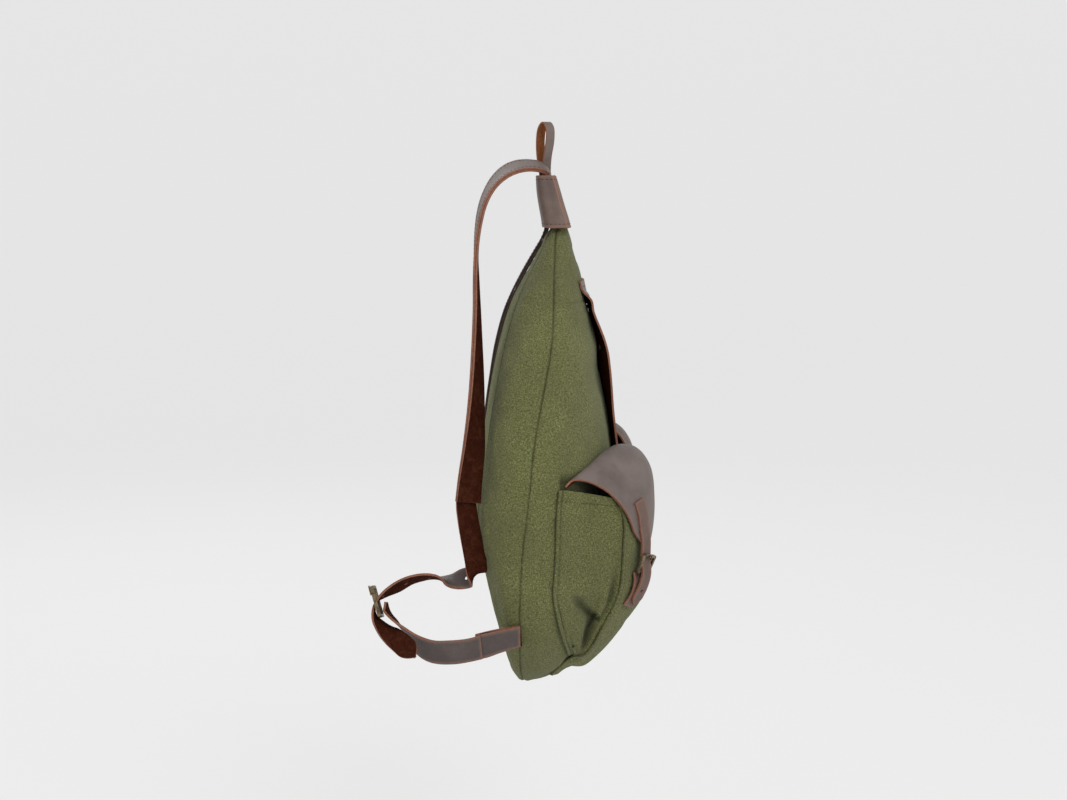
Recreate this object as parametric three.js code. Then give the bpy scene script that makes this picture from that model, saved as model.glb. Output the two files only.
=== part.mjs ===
import * as THREE from 'three';
import { mergeVertices } from 'three/addons/utils/BufferGeometryUtils.js';

// Wool rucksack hung from its loop. Millimetres, +Z up, front of the bag towards -Y,
// wearer's left towards -X. The origin is the inside top of the hang loop.
// In the tables "drop" is the distance below the origin, "out" the distance from the middle plane.

const woolThickness = 2;
const leatherThickness = 2;
const seamGap = 0.5;
const weldDistance = 1e-4;
// Facets of each piece: columns across it and rows along it.
const grids = {
  bagFront: { columns: 20 },
  bagBack: { columns: 8 },
  bagSide: { columns: 3 },
  yoke: { columns: 20, rows: 6 },
  mainFlap: { columns: 10, rows: 15 },
  pocketFront: { columns: 8, rows: 12 },
  outerGusset: { columns: 6, rows: 14 },
  innerGusset: { columns: 2, rows: 14 },
  pocketFlap: { columns: 8, rows: 12 },
};
// The right pocket hangs flatter than the left: "flatter" is how far its front stands back,
// growing from nothing at the first of the flatten levels in Y to all of it at the second.
// "tabReach" is the share of the tab's depth in Y.
const sides = [
  { name: 'left', sign: -1, flatter: 0, tabReach: 1 },
  { name: 'right', sign: 1, flatter: 8.5, tabReach: 0.82 },
];
const flattenLevels = [-45, -68];

// Bag, one row per level section: half width, and the front, side seam and back as Y.
const bagSections = [
  { drop: 98, half: 25, back: -8.5, seam: -13, front: -19 },
  { drop: 106, half: 32, back: -4, seam: -9.5, front: -22 },
  { drop: 120, half: 46, back: 4, seam: -8.5, front: -26 },
  { drop: 140, half: 66, back: 15.5, seam: -7.5, front: -32 },
  { drop: 160, half: 88, back: 26.5, seam: -7, front: -36.5 },
  { drop: 175, half: 101, back: 33.5, seam: -6.5, front: -39 },
  { drop: 197, half: 120, back: 41, seam: -5.5, front: -45.5 },
  { drop: 225, half: 140, back: 48, seam: -2, front: -50.5 },
  { drop: 260, half: 158, back: 54.5, seam: 5, front: -56.5 },
  { drop: 300, half: 174, back: 60.5, seam: 12, front: -63.5 },
  { drop: 350, half: 187, back: 64.5, seam: 17, front: -68 },
  { drop: 400, half: 191, back: 62.5, seam: 23, front: -70 },
  { drop: 440, half: 188, back: 56.5, seam: 25, front: -67 },
  { drop: 478, half: 174, back: 47, seam: 25.5, front: -57 },
  { drop: 503, half: 153, back: 40.5, seam: 25, front: -45 },
  { drop: 523, half: 128, back: 34, seam: 24, front: -29 },
  { drop: 534, half: 102, back: 28, seam: 22, front: -10 },
  { drop: 539, half: 80, back: 23, seam: 20, front: 9 },
  { drop: 540, half: 72, back: 22, seam: 20, front: 20.2 },
];
// Levels between which the underside is looked for, and a place in Y well inside the bag.
const underTop = 440;
const underBottom = 540;
const underInsideY = 15;
const frontFullness = 2.3;
const backFullness = 3.4;
// Soft dents and bulges across the front and back: depth is a shift in Y.
const frontFolds = [
  { drop: 240, depth: 2.6, spread: 9 },
  { drop: 212, depth: -1.2, spread: 8 },
];
const backFolds = [{ drop: 372, depth: 8, spread: 34 }];
const mouthDrop = 172;
const mouthGap = 9;
const mouthReach = 0.4;
const topRows = [98, 106, 116, 128, 142, 158, mouthDrop];
const lowRows = [
  mouthDrop, 190, 212, 238, 268, 300, 332, 364, 396, 426, 454, 478, 500, 516, 528, 535, 539, 540,
];
const sideSeamTurn = THREE.MathUtils.degToRad(55);

const yokeSections = [
  { drop: 51, half: 29, back: 10.2, front: -9.5 },
  { drop: 66, half: 29.5, back: 9.4, front: -14 },
  { drop: 80, half: 31, back: 7.4, front: -18 },
  { drop: 92, half: 35, back: 5.2, front: -21.8 },
  { drop: 102, half: 40, back: 3.8, front: -24.6 },
];
const yokeFullness = 5;

const mainFlapRows = [
  { half: 50, edgeY: -20, crownY: -30, drop: 153 },
  { half: 54, edgeY: -41.5, crownY: -40, drop: 166 },
  { half: 58, edgeY: -46.5, crownY: -44, drop: 182 },
  { half: 62, edgeY: -55.5, crownY: -50, drop: 205 },
  { half: 63, edgeY: -60, crownY: -51, drop: 220 },
  { half: 64, edgeY: -63.2, crownY: -52, drop: 245 },
  { half: 64, edgeY: -65.6, crownY: -59, drop: 277 },
  { half: 63, edgeY: -69.2, crownY: -65.5, drop: 308 },
  { half: 58, edgeY: -72.5, crownY: -69.5, drop: 335 },
  { half: 42, edgeY: -73.5, crownY: -71, drop: 356 },
  { half: 18, edgeY: -74, crownY: -71.5, drop: 366 },
];
const flapLift = 0.7;
const pocketFlapLift = 1.8;
// Stud on the rough side of the main flap, placed by its share across and along the flap.
const stud = { across: 0.18, along: 0.39, radius: 4, crown: 3.2, height: 2.2, shoulder: 1.5,
  lift: 0.35, sides: 12 };

// Pocket, one row per section from the mouth down: front outer edge, crown, inner edge and sewn root.
const pocketRows = [
  { edgeOut: 160, edgeY: -61, edgeDrop: 347, crownOut: 114, crownY: -88, crownDrop: 345,
    innerY: -81, innerDrop: 342, rootY: -15, rootDrop: 338, rootLift: 2.7 },
  { edgeOut: 157, edgeY: -71, edgeDrop: 364, crownOut: 114, crownY: -93.5, crownDrop: 364,
    innerY: -88, innerDrop: 362, rootY: -13, rootDrop: 364, rootLift: 2.7 },
  { edgeOut: 155, edgeY: -71, edgeDrop: 405, crownOut: 114, crownY: -95.5, crownDrop: 405,
    innerY: -91, innerDrop: 404, rootY: -12, rootDrop: 403, rootLift: 2.7 },
  { edgeOut: 151, edgeY: -67, edgeDrop: 441, crownOut: 113, crownY: -94.5, crownDrop: 440,
    innerY: -90, innerDrop: 442, rootY: -10, rootDrop: 433, rootLift: 2.9 },
  { edgeOut: 146, edgeY: -54, edgeDrop: 470, crownOut: 111, crownY: -80.5, crownDrop: 466,
    innerY: -77.5, innerDrop: 468, rootY: -13, rootDrop: 456, rootLift: 3.2 },
  { edgeOut: 137, edgeY: -38, edgeDrop: 500, crownOut: 107, crownY: -58.5, crownDrop: 497,
    innerY: -57.5, innerDrop: 500, rootY: -18, rootDrop: 481, rootLift: 3.8 },
  { edgeOut: 124, edgeY: -22, edgeDrop: 508, crownOut: 100, crownY: -34, crownDrop: 521,
    innerY: -38, innerDrop: 509, rootY: -22, rootDrop: 503, rootLift: 5.2 },
  { edgeOut: 112, edgeY: -4, edgeDrop: 515, crownOut: 93, crownY: -8, crownDrop: 520,
    innerY: -10, innerDrop: 524, rootY: -14, rootDrop: 512, rootLift: 5.4 },
];
const pocketInnerOut = 78;
const pocketFlange = 6;
const flangeShare = 1 / 6;
const pocketBaseLift = 3.2;
const buttGap = 2.9;
// Share of the front's length that each gusset runs down.
const outerGussetEnd = 0.85;
const innerGussetEnd = 0.82;
const innerGussetRise = 470;
const sewnGap = 0.6;
const gussetSag = 3;
const gussetFold = { across: 0.62, along: 0.62, depth: 9, width: 0.2, height: 0.1 };

// Pocket flap, one row per section from its sewn edge to its tip.
const pocketFlapRows = [
  { edgeOut: 176.2, edgeY: -8, edgeDrop: 335, crownOut: 114, crownY: -30, crownDrop: 316,
    innerOut: 76, innerY: -40, innerDrop: 318 },
  { edgeOut: 174.4, edgeY: -27, edgeDrop: 329, crownOut: 114, crownY: -70, crownDrop: 308,
    innerOut: 75, innerY: -76, innerDrop: 313 },
  { edgeOut: 169, edgeY: -42, edgeDrop: 333, crownOut: 114, crownY: -86, crownDrop: 316,
    innerOut: 75, innerY: -87, innerDrop: 320 },
  { edgeOut: 165, edgeY: -57, edgeDrop: 342, crownOut: 114, crownY: -96, crownDrop: 331,
    innerOut: 75, innerY: -94, innerDrop: 334 },
  { edgeOut: 162, edgeY: -69, edgeDrop: 355, crownOut: 115, crownY: -99.5, crownDrop: 349,
    innerOut: 77, innerY: -97, innerDrop: 350 },
  { edgeOut: 157, edgeY: -77, edgeDrop: 369, crownOut: 117, crownY: -100.5, crownDrop: 367,
    innerOut: 82, innerY: -98.5, innerDrop: 367 },
  { edgeOut: 150, edgeY: -82, edgeDrop: 383, crownOut: 120, crownY: -99, crownDrop: 384,
    innerOut: 92, innerY: -99, innerDrop: 384 },
  { edgeOut: 140, edgeY: -89, edgeDrop: 393, crownOut: 124, crownY: -96.5, crownDrop: 396,
    innerOut: 108, innerY: -98.5, innerDrop: 394 },
];
const pocketStrap = { width: 14, thickness: leatherThickness, steps: 24 };
const pocketChape = { width: 14, thickness: leatherThickness, steps: 8 };
const pocketStrapFace = { out: 0.6, y: -0.8 };
const pocketStrapLift = 0.4;
const pocketStrapOnFlap = { across: 0.18, starts: [0.58, 0.7, 0.82, 0.94] };
const pocketStrapRows = [
  { out: 137.5, y: -92.5, drop: 403 },
  { out: 138, y: -92.3, drop: 411 },
  { out: 138.5, y: -93.2, drop: 422 },
  { out: 139, y: -91, drop: 432 },
  { out: 139, y: -86.2, drop: 443 },
  { out: 138.5, y: -81, drop: 452 },
];
const pocketChapeRows = [
  { out: 138.5, y: -85, drop: 420.5 },
  { out: 139, y: -85.6, drop: 430 },
  { out: 139, y: -82.4, drop: 443 },
  { out: 138.5, y: -75.6, drop: 454 },
];
const pocketBuckle = { width: 22, height: 20, bar: 2.6, depth: 2.6, out: 138, topY: -96.3, topDrop: 406,
  heelY: -89.6, heelDrop: 422 };

const shoulderStrap = { width: 25, thickness: 4.4, steps: 34 };
const lowerStrap = { width: 20, thickness: 2.2, steps: 48 };
const anchorStrap = { width: 22, thickness: 2.2, steps: 26 };
const anchorTab = { width: 22, thickness: 2.2, steps: 22 };
const hangLoop = { width: 10, thickness: 1.6, steps: 30, turn: THREE.MathUtils.degToRad(-35) };
const strapBuckle = { width: 32, height: 30, bar: 3, depth: 3 };
// Shares of the buckle's height and bar that give its prong.
const prongSize = { length: 0.3, tip: 0.36, root: 0.42, overhang: 1, lift: 0.35 };

// Straps, one row per bend: place of the middle line and the way the smooth side looks.
const shoulderStrapLeft = [
  { x: -10, y: -4.6, drop: 74, face: [0, -1, 0] },
  { x: -10, y: -3.4, drop: 54, face: [0, -1, 0.1] },
  { x: -12, y: 1, drop: 45, face: [-0.2, -0.6, 0.8] },
  { x: -17, y: 14, drop: 41.5, face: [-0.35, -0.1, 0.95] },
  { x: -23, y: 29, drop: 43, face: [-0.42, 0.2, 0.9] },
  { x: -30, y: 42, drop: 50, face: [-0.42, 0.55, 0.7] },
  { x: -40, y: 54, drop: 64, face: [-0.35, 0.85, 0.4] },
  { x: -51, y: 62, drop: 83, face: [-0.25, 0.95, 0.15] },
  { x: -65, y: 66.5, drop: 113, face: [-0.12, 1, 0] },
  { x: -79, y: 67, drop: 146, face: [0.05, 1, 0] },
  { x: -92, y: 66, drop: 179, face: [0.14, 0.99, 0] },
  { x: -105, y: 65.5, drop: 211, face: [0.26, 0.96, 0] },
  { x: -118, y: 65.5, drop: 247, face: [0.42, 0.9, 0] },
  { x: -131, y: 66.5, drop: 279, face: [0.58, 0.81, 0] },
  { x: -142, y: 68, drop: 306, face: [0.75, 0.66, 0] },
  { x: -150, y: 71, drop: 331, face: [0.82, 0.57, 0] },
  { x: -154, y: 73, drop: 353, face: [0.88, 0.47, 0] },
];
const lowerStrapLeft = [
  { x: -146.8, y: 73.2, drop: 333, face: [0.82, 0.57, 0] },
  { x: -150.4, y: 75, drop: 353, face: [0.88, 0.47, 0] },
  { x: -151.5, y: 72.5, drop: 374, face: [0.92, 0.35, -0.05] },
  { x: -153, y: 69, drop: 393, face: [0.97, 0.15, -0.1] },
  { x: -155, y: 65.5, drop: 414, face: [0.98, 0, -0.12] },
  { x: -154, y: 66, drop: 418.8, face: [0.7, 0.5, 0.5] },
  { x: -151.5, y: 67.5, drop: 422, face: [0, 0.7, 0.7] },
  { x: -149, y: 70.8, drop: 424, face: [-0.7, 0.5, 0.5] },
  { x: -147.6, y: 76, drop: 425.5, face: [-0.85, 0.1, 0.5] },
  { x: -147, y: 87, drop: 428, face: [-0.5, 0, 0.87] },
  { x: -147.5, y: 97, drop: 427, face: [-0.05, 0, 1] },
  { x: -152.5, y: 108.5, drop: 423.5, face: [0.4, 0, 0.92] },
  { x: -158.5, y: 122, drop: 424, face: [0.55, 0.1, 0.83] },
  { x: -166, y: 135.5, drop: 428.5, face: [0.62, 0.3, 0.72] },
  { x: -172.5, y: 148, drop: 434, face: [0.35, 0.62, 0.7] },
  { x: -177, y: 156.5, drop: 441, face: [0.05, 0.86, 0.5] },
  { x: -182, y: 158, drop: 449, face: [-0.05, 1, -0.1] },
  { x: -189, y: 153.2, drop: 457.3, face: [0.25, 0.75, -0.6] },
  { x: -202, y: 142, drop: 466, face: [0.72, 0.38, -0.52] },
  { x: -212, y: 129, drop: 474.5, face: [0.9, 0.18, -0.32] },
  { x: -219.5, y: 118.5, drop: 483, face: [0.95, 0.1, -0.25] },
];
const anchorStrapLeft = [
  { x: -197.8, y: 60, drop: 479, face: [-0.97, 0.1, -0.05] },
  { x: -204, y: 72, drop: 480.5, face: [-1, -0.1, -0.1] },
  { x: -207, y: 86, drop: 481.5, face: [-1, 0, 0] },
  { x: -206, y: 104, drop: 481, face: [-0.95, 0.2, -0.2] },
  { x: -200, y: 119, drop: 475, face: [-0.75, 0.5, -0.45] },
  { x: -193, y: 130, drop: 465, face: [-0.35, 0.7, -0.65] },
  { x: -187, y: 140, drop: 456, face: [-0.1, 0.72, -0.7] },
  { x: -182, y: 146.5, drop: 449, face: [0, 0.85, -0.5] },
  { x: -180, y: 147.5, drop: 441, face: [0, 1, 0.1] },
];
const strapBuckleLeft = { top: [-176, 159.5, 429], heel: [-181, 152.4, 453], across: [-1, -0.1, -0.2] };

// The right strap lies on the back; "lift" is its distance from the cloth there.
const shoulderStrapRight = [
  { x: 8, y: -2.2, drop: 86, face: [0, 1, 0] },
  { x: 8, y: -1.9, drop: 97, face: [0, 1, 0.15] },
  { x: 11, drop: 112, lift: 3, face: [0, 0.88, 0.48] },
  { x: 17, drop: 128, lift: 3, face: [0, 0.86, 0.52] },
  { x: 30, drop: 152, lift: 3, face: [0, 0.88, 0.48] },
  { x: 46, drop: 180, lift: 3.2, face: [0.04, 0.93, 0.36] },
  { x: 66, drop: 215, lift: 3.2, face: [0.1, 0.96, 0.25] },
  { x: 90, drop: 252, lift: 3.4, face: [0.15, 0.98, 0.17] },
  { x: 113, drop: 285, lift: 3.8, face: [0.25, 0.96, 0.12] },
  { x: 136, drop: 318, lift: 4.6, face: [0.36, 0.93, 0] },
  { x: 157, drop: 348, lift: 6, face: [0.5, 0.86, 0] },
  { x: 178, y: 52.5, drop: 378, face: [0.62, 0.74, 0.1] },
  { x: 199, y: 43, drop: 406, face: [0.75, 0.55, 0.25] },
  { x: 214, y: 39, drop: 430, face: [0.85, 0.3, 0.4] },
];
const lowerStrapRight = [
  { x: 205, y: 45.4, drop: 409, face: [0.75, 0.5, 0.3] },
  { x: 218, y: 41.2, drop: 430, face: [0.85, 0.3, 0.4] },
  { x: 236, y: 38.5, drop: 456, face: [0.85, 0.1, 0.5] },
  { x: 254, y: 37, drop: 482, face: [0.88, 0, 0.45] },
  { x: 267, y: 36, drop: 502, face: [0.95, 0, 0.3] },
  { x: 272, y: 35.5, drop: 518, face: [1, 0, 0] },
  { x: 268, y: 35, drop: 533, face: [0.8, 0, -0.6] },
  { x: 258, y: 34.5, drop: 543, face: [0.5, 0, -0.85] },
  { x: 242, y: 34, drop: 547, face: [0.1, 0, -1] },
  { x: 226, y: 33.5, drop: 544, face: [-0.2, 0, -1] },
];
const anchorStrapRight = [
  { x: 197.8, y: 49, drop: 479, face: [0.97, 0.1, -0.05] },
  { x: 204, y: 53.5, drop: 484, face: [0.8, 0.6, -0.2] },
  { x: 209, y: 52, drop: 494, face: [0.4, 0.8, -0.4] },
  { x: 217, y: 44, drop: 507, face: [-0.2, 0.6, -0.7] },
  { x: 229, y: 37.5, drop: 520, face: [-0.55, 0.2, -0.8] },
  { x: 241, y: 35.5, drop: 529, face: [-0.6, 0, -0.8] },
  { x: 251, y: 35, drop: 530, face: [0.1, 0, -1] },
  { x: 258, y: 35, drop: 525, face: [0.6, 0, -0.8] },
];
const strapBuckleRight = { top: [276, 36, 517.5], heel: [256.5, 34.5, 533.5], across: [0, 1, 0] };

const tabRows = [
  { out: 177.6, y: 24, drop: 473, face: [-0.92, 0, 0.38] },
  { out: 180.6, y: 44, drop: 476, face: [-0.93, 0.15, 0.3] },
  { out: 189, y: 60, drop: 478.5, face: [-0.9, 0.4, 0.1] },
  { out: 193, y: 64.5, drop: 479, face: [0, 1, 0] },
  { out: 195.2, y: 60, drop: 479, face: [0.95, 0.1, 0] },
  { out: 187.5, y: 43, drop: 476, face: [0.93, -0.25, -0.2] },
  { out: 180.6, y: 25, drop: 473, face: [0.92, -0.1, -0.38] },
];

// Hang loop, one row per bend: distance along its own plane, drop, and lean of its middle.
const hangLoopRows = [
  { side: -1.8, drop: 66, leanX: 10, leanY: 0.8 },
  { side: -2.4, drop: 50, leanX: 9, leanY: 1.2 },
  { side: -5.5, drop: 33, leanX: 5.5, leanY: 2 },
  { side: -8.2, drop: 17, leanX: 2.5, leanY: 1 },
  { side: -6.6, drop: 4.5, leanX: 0.5, leanY: 0.3 },
  { side: 0, drop: -0.8, leanX: 0, leanY: 0 },
  { side: 6.6, drop: 4.5, leanX: 0.5, leanY: 0.3 },
  { side: 8.2, drop: 17, leanX: 2.5, leanY: 1 },
  { side: 5.5, drop: 33, leanX: 5.5, leanY: 2 },
  { side: 2.4, drop: 50, leanX: 9, leanY: 1.2 },
  { side: 1.8, drop: 66, leanX: 10, leanY: 0.8 },
];

const wool = new THREE.MeshStandardMaterial({ color: 0x6a6f46, roughness: 0.95, metalness: 0 });
const leather = new THREE.MeshStandardMaterial({ color: 0x6e625f, roughness: 0.6, metalness: 0 });
const strapLeather = new THREE.MeshStandardMaterial({ color: 0x5c4238, roughness: 0.65, metalness: 0 });
const metal = new THREE.MeshStandardMaterial({ color: 0x4a4238, roughness: 0.4, metalness: 0.9 });

const rucksack = new THREE.Group();

function addPiece(name, geometry, material) {
  const mesh = new THREE.Mesh(geometry, material);
  mesh.name = name;
  rucksack.add(mesh);
}

// A smooth reading of a table's number columns, by the named column or by share of the rows.
function tableReader(rows, key) {
  const names = Object.keys(rows[0]);
  const positions = rows.map((row, index) => (key ? row[key] : index / (rows.length - 1)));
  const values = rows.flatMap((row) => names.map((name) => row[name]));
  const curve = new THREE.CubicInterpolant(positions, values, names.length);
  return (at) => {
    const found = curve.evaluate(at);
    return Object.fromEntries(names.map((name, index) => [name, found[index]]));
  };
}

function facingOut(geometry) {
  const { position } = geometry.attributes;
  const corners = geometry.index.array;
  const [a, b, c] = [new THREE.Vector3(), new THREE.Vector3(), new THREE.Vector3()];
  let volume = 0;
  for (let i = 0; i < corners.length; i += 3) {
    a.fromBufferAttribute(position, corners[i]);
    b.fromBufferAttribute(position, corners[i + 1]);
    c.fromBufferAttribute(position, corners[i + 2]);
    volume += a.dot(b.cross(c));
  }
  if (volume < 0) {
    for (let i = 0; i < corners.length; i += 3) {
      [corners[i], corners[i + 1]] = [corners[i + 1], corners[i]];
    }
  }
  return geometry;
}

function normalAt(surface, u, v) {
  const step = 1e-3;
  const along = surface(u, Math.min(v + step, 1)).sub(surface(u, Math.max(v - step, 0)));
  return surface(u + step, v).sub(surface(u - step, v)).cross(along).normalize();
}

// A wall bent onto a surface: a flat box whose far face is the given thickness behind the near one.
function wall(surface, { columns, rows, thickness, outward, seam = 0 }) {
  const geometry = new THREE.BoxGeometry(1, 1, 1, columns, rows, 1);
  geometry.deleteAttribute('normal');
  geometry.deleteAttribute('uv');
  const { position } = geometry.attributes;
  for (let i = 0; i < position.count; i += 1) {
    const u = Math.round((position.getX(i) + 0.5) * columns) / columns;
    const v = Math.round((0.5 - position.getY(i)) * rows) / rows;
    const point = surface(u, v);
    const place = point.clone();
    if (seam && (u === 0 || u === 1)) {
      const inside = surface(u === 0 ? 1 / columns : 1 - 1 / columns, v);
      place.addScaledVector(inside.sub(point).normalize(), seam / 2);
    }
    if (seam && (v === 0 || v === 1)) {
      const inside = surface(u, v === 0 ? 1 / rows : 1 - 1 / rows);
      place.addScaledVector(inside.sub(point).normalize(), seam / 2);
    }
    if (position.getZ(i) < 0) {
      place.addScaledVector(normalAt(surface, u, v), -outward * thickness);
    }
    position.setXYZ(i, place.x, place.y, place.z);
  }
  return facingOut(mergeVertices(geometry, weldDistance));
}

// A flat strap swept along its rows, turned so that its smooth side follows "face".
function strap(rows, { width, thickness, steps }) {
  const points = rows.map((row) => new THREE.Vector3(row.x, row.y, -row.drop));
  const path = new THREE.CatmullRomCurve3(points, false, 'centripetal');
  const faceAt = tableReader(rows.map(({ face: [x, y, z] }) => ({ x, y, z })));
  const surface = (u, v) => {
    const face = faceAt(v);
    const along = path.getTangent(v);
    const across = new THREE.Vector3(face.x, face.y, face.z).cross(along).normalize();
    const lift = along.clone().cross(across);
    return path.getPoint(v)
      .addScaledVector(across, (u - 0.5) * width)
      .addScaledVector(lift, thickness / 2);
  };
  return wall(surface, { columns: 1, rows: steps, thickness, outward: -1 });
}

// Bag surface: turn 0 is the left side seam, a quarter turn the middle of the front.
const bagAt = tableReader(bagSections, 'drop');

function foldShift(folds, drop) {
  return folds.reduce(
    (sum, fold) => sum + fold.depth * Math.exp(-(((drop - fold.drop) / fold.spread) ** 2)), 0);
}

function bagPoint(turn, drop) {
  const { half, back, seam, front } = bagAt(drop);
  const onFront = Math.sin(turn) >= 0;
  const power = 2 / (onFront ? frontFullness : backFullness);
  const depth = Math.abs(Math.sin(turn)) ** power;
  const x = -half * Math.sign(Math.cos(turn)) * Math.abs(Math.cos(turn)) ** power;
  const reach = (onFront ? front : back) - seam;
  const shift = foldShift(onFront ? frontFolds : backFolds, drop) * depth ** 4;
  return new THREE.Vector3(x, seam + reach * depth + shift, -drop);
}

function bagFrontY(x, drop) {
  const { half, seam, front } = bagAt(drop);
  const share = Math.min(Math.abs(x) / half, 1);
  const depth = (1 - share ** frontFullness) ** (1 / frontFullness);
  return seam + (front - seam) * depth + foldShift(frontFolds, drop) * depth ** 4;
}

function bagBackY(x, drop) {
  const { half, seam, back } = bagAt(drop);
  const depth = (1 - Math.min(Math.abs(x) / half, 1) ** backFullness) ** (1 / backFullness);
  return seam + (back - seam) * depth + foldShift(backFolds, drop) * depth ** 4;
}

function bagSideOut(y, drop) {
  const { half, seam, front } = bagAt(drop);
  const share = Math.max((y - seam) / (front - seam), 0);
  return half * (1 - share ** frontFullness) ** (1 / frontFullness);
}

// The level at which the underside of the bag passes over the given place, or 0 in front of the bag.
function bagUnderDrop(x, y) {
  if (bagFrontY(x, underTop) > y) {
    return 0;
  }
  let [high, low] = [underTop, underBottom];
  while (low - high > 0.05) {
    const middle = (high + low) / 2;
    if (bagFrontY(x, middle) < y) {
      high = middle;
    } else {
      low = middle;
    }
  }
  return high;
}

function rowAt(rows, v) {
  const place = v * (rows.length - 1);
  const index = Math.min(Math.floor(place), rows.length - 2);
  return THREE.MathUtils.lerp(rows[index], rows[index + 1], place - index);
}

function addBag() {
  const mouthOpening = (u) => mouthGap / 2 * Math.max(0, 1 - ((2 * u - 1) / mouthReach) ** 2);
  const bagWall = { thickness: woolThickness, outward: -1, seam: seamGap };
  const frontTop = (u, v) => bagPoint(u * Math.PI, rowAt(topRows, v) - mouthOpening(u) * v ** 3);
  const front = (u, v) => bagPoint(u * Math.PI, rowAt(lowRows, v) + mouthOpening(u) * (1 - v) ** 8);
  const sideRows = [...topRows, ...lowRows.slice(1, -1)];
  const between = (start, end) => (u, v) =>
    bagPoint(THREE.MathUtils.lerp(start, end, u), rowAt(sideRows, v));
  const topCount = topRows.length - 1;
  const allRows = sideRows.length - 1;
  const back = between(Math.PI + sideSeamTurn, 2 * Math.PI - sideSeamTurn);
  const left = between(2 * Math.PI - sideSeamTurn, 2 * Math.PI);
  const right = between(Math.PI, Math.PI + sideSeamTurn);
  addPiece('front_top_panel', wall(frontTop, { ...bagWall, ...grids.bagFront, rows: topCount }), wool);
  addPiece('front_panel', wall(front, { ...bagWall, ...grids.bagFront, rows: lowRows.length - 1 }), wool);
  addPiece('back_panel', wall(back, { ...bagWall, ...grids.bagBack, rows: allRows }), wool);
  addPiece('side_panel_left', wall(left, { ...bagWall, ...grids.bagSide, rows: allRows }), wool);
  addPiece('side_panel_right', wall(right, { ...bagWall, ...grids.bagSide, rows: allRows }), wool);
}

// The sleeve is one piece of leather, wrapped round with its two edges meeting at the front.
function addYoke() {
  const yokeAt = tableReader(yokeSections, 'drop');
  const first = yokeSections[0].drop;
  const last = yokeSections[yokeSections.length - 1].drop;
  const surface = (u, v) => {
    const drop = THREE.MathUtils.lerp(first, last, v);
    const { half, back, front } = yokeAt(drop);
    const turn = (u + 0.25) * 2 * Math.PI;
    const power = 2 / yokeFullness;
    const middle = (back + front) / 2;
    const x = -half * Math.sign(Math.cos(turn)) * Math.abs(Math.cos(turn)) ** power;
    const depth = Math.sign(Math.sin(turn)) * Math.abs(Math.sin(turn)) ** power;
    return new THREE.Vector3(x, middle - (back - front) / 2 * depth, -drop);
  };
  const options = { ...grids.yoke, thickness: leatherThickness, outward: -1, seam: seamGap };
  addPiece('yoke', wall(surface, options), leather);
}

function addHangLoop() {
  const { width, thickness, steps, turn } = hangLoop;
  const plane = new THREE.Vector3(Math.cos(turn), -Math.sin(turn), 0);
  const across = new THREE.Vector3(Math.sin(turn), Math.cos(turn), 0);
  const points = hangLoopRows.map(({ side, drop, leanX, leanY }) =>
    new THREE.Vector3(leanX, leanY, -drop).addScaledVector(plane, side));
  const path = new THREE.CatmullRomCurve3(points, false, 'centripetal');
  const surface = (u, v) => {
    const lift = across.clone().cross(path.getTangent(v)).normalize();
    return path.getPoint(v)
      .addScaledVector(across, (u - 0.5) * width)
      .addScaledVector(lift, -thickness / 2);
  };
  addPiece('hang_loop', wall(surface, { columns: 1, rows: steps, thickness, outward: -1 }), strapLeather);
}

// A point at share u along the arc through three points.
function arcThrough(start, middle, end, u) {
  return new THREE.Vector3()
    .addScaledVector(start, (2 * u - 1) * (u - 1))
    .addScaledVector(middle, 4 * u * (1 - u))
    .addScaledVector(end, u * (2 * u - 1));
}

function keptOffBag(point, gap) {
  point.y = Math.min(point.y, bagFrontY(point.x, -point.z) - gap);
  return point;
}

function addMainFlap() {
  const flapAt = tableReader(mainFlapRows);
  const surface = (u, v) => {
    const { half, edgeY, crownY, drop } = flapAt(v);
    const start = new THREE.Vector3(-half, edgeY, -drop);
    const middle = new THREE.Vector3(0, crownY, -drop);
    const end = new THREE.Vector3(half, edgeY, -drop);
    return keptOffBag(arcThrough(start, middle, end, u), leatherThickness + flapLift);
  };
  const options = { ...grids.mainFlap, thickness: leatherThickness, outward: -1 };
  addPiece('main_flap', wall(surface, options), leather);

  const { across, along, radius, crown, height, shoulder, lift } = stud;
  const profile = [
    new THREE.Vector2(0, 0),
    new THREE.Vector2(radius, 0),
    new THREE.Vector2(crown, shoulder),
    new THREE.Vector2(0, height),
  ];
  const head = mergeVertices(plain(new THREE.LatheGeometry(profile, stud.sides)), weldDistance);
  const inward = normalAt(surface, across, along);
  const turn = new THREE.Quaternion().setFromUnitVectors(new THREE.Vector3(0, 1, 0), inward);
  const place = surface(across, along).addScaledVector(inward, leatherThickness + lift);
  head.applyQuaternion(turn).translate(place.x, place.y, place.z);
  addPiece('main_flap_stud', facingOut(head), metal);
}

function plain(geometry) {
  geometry.deleteAttribute('normal');
  geometry.deleteAttribute('uv');
  return geometry;
}

// A flat metal frame with round corners, its opening left free for the strap.
function buckleFrame({ width, height, bar, depth }) {
  const outline = new THREE.Shape();
  roundedRectangle(outline, width, height, bar);
  const hole = new THREE.Path();
  roundedRectangle(hole, width - 2 * bar, height - 2 * bar, bar / 3);
  outline.holes.push(hole);
  const options = { depth, bevelEnabled: false, curveSegments: 3 };
  return plain(new THREE.ExtrudeGeometry(outline, options)).translate(0, 0, -depth / 2);
}

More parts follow.
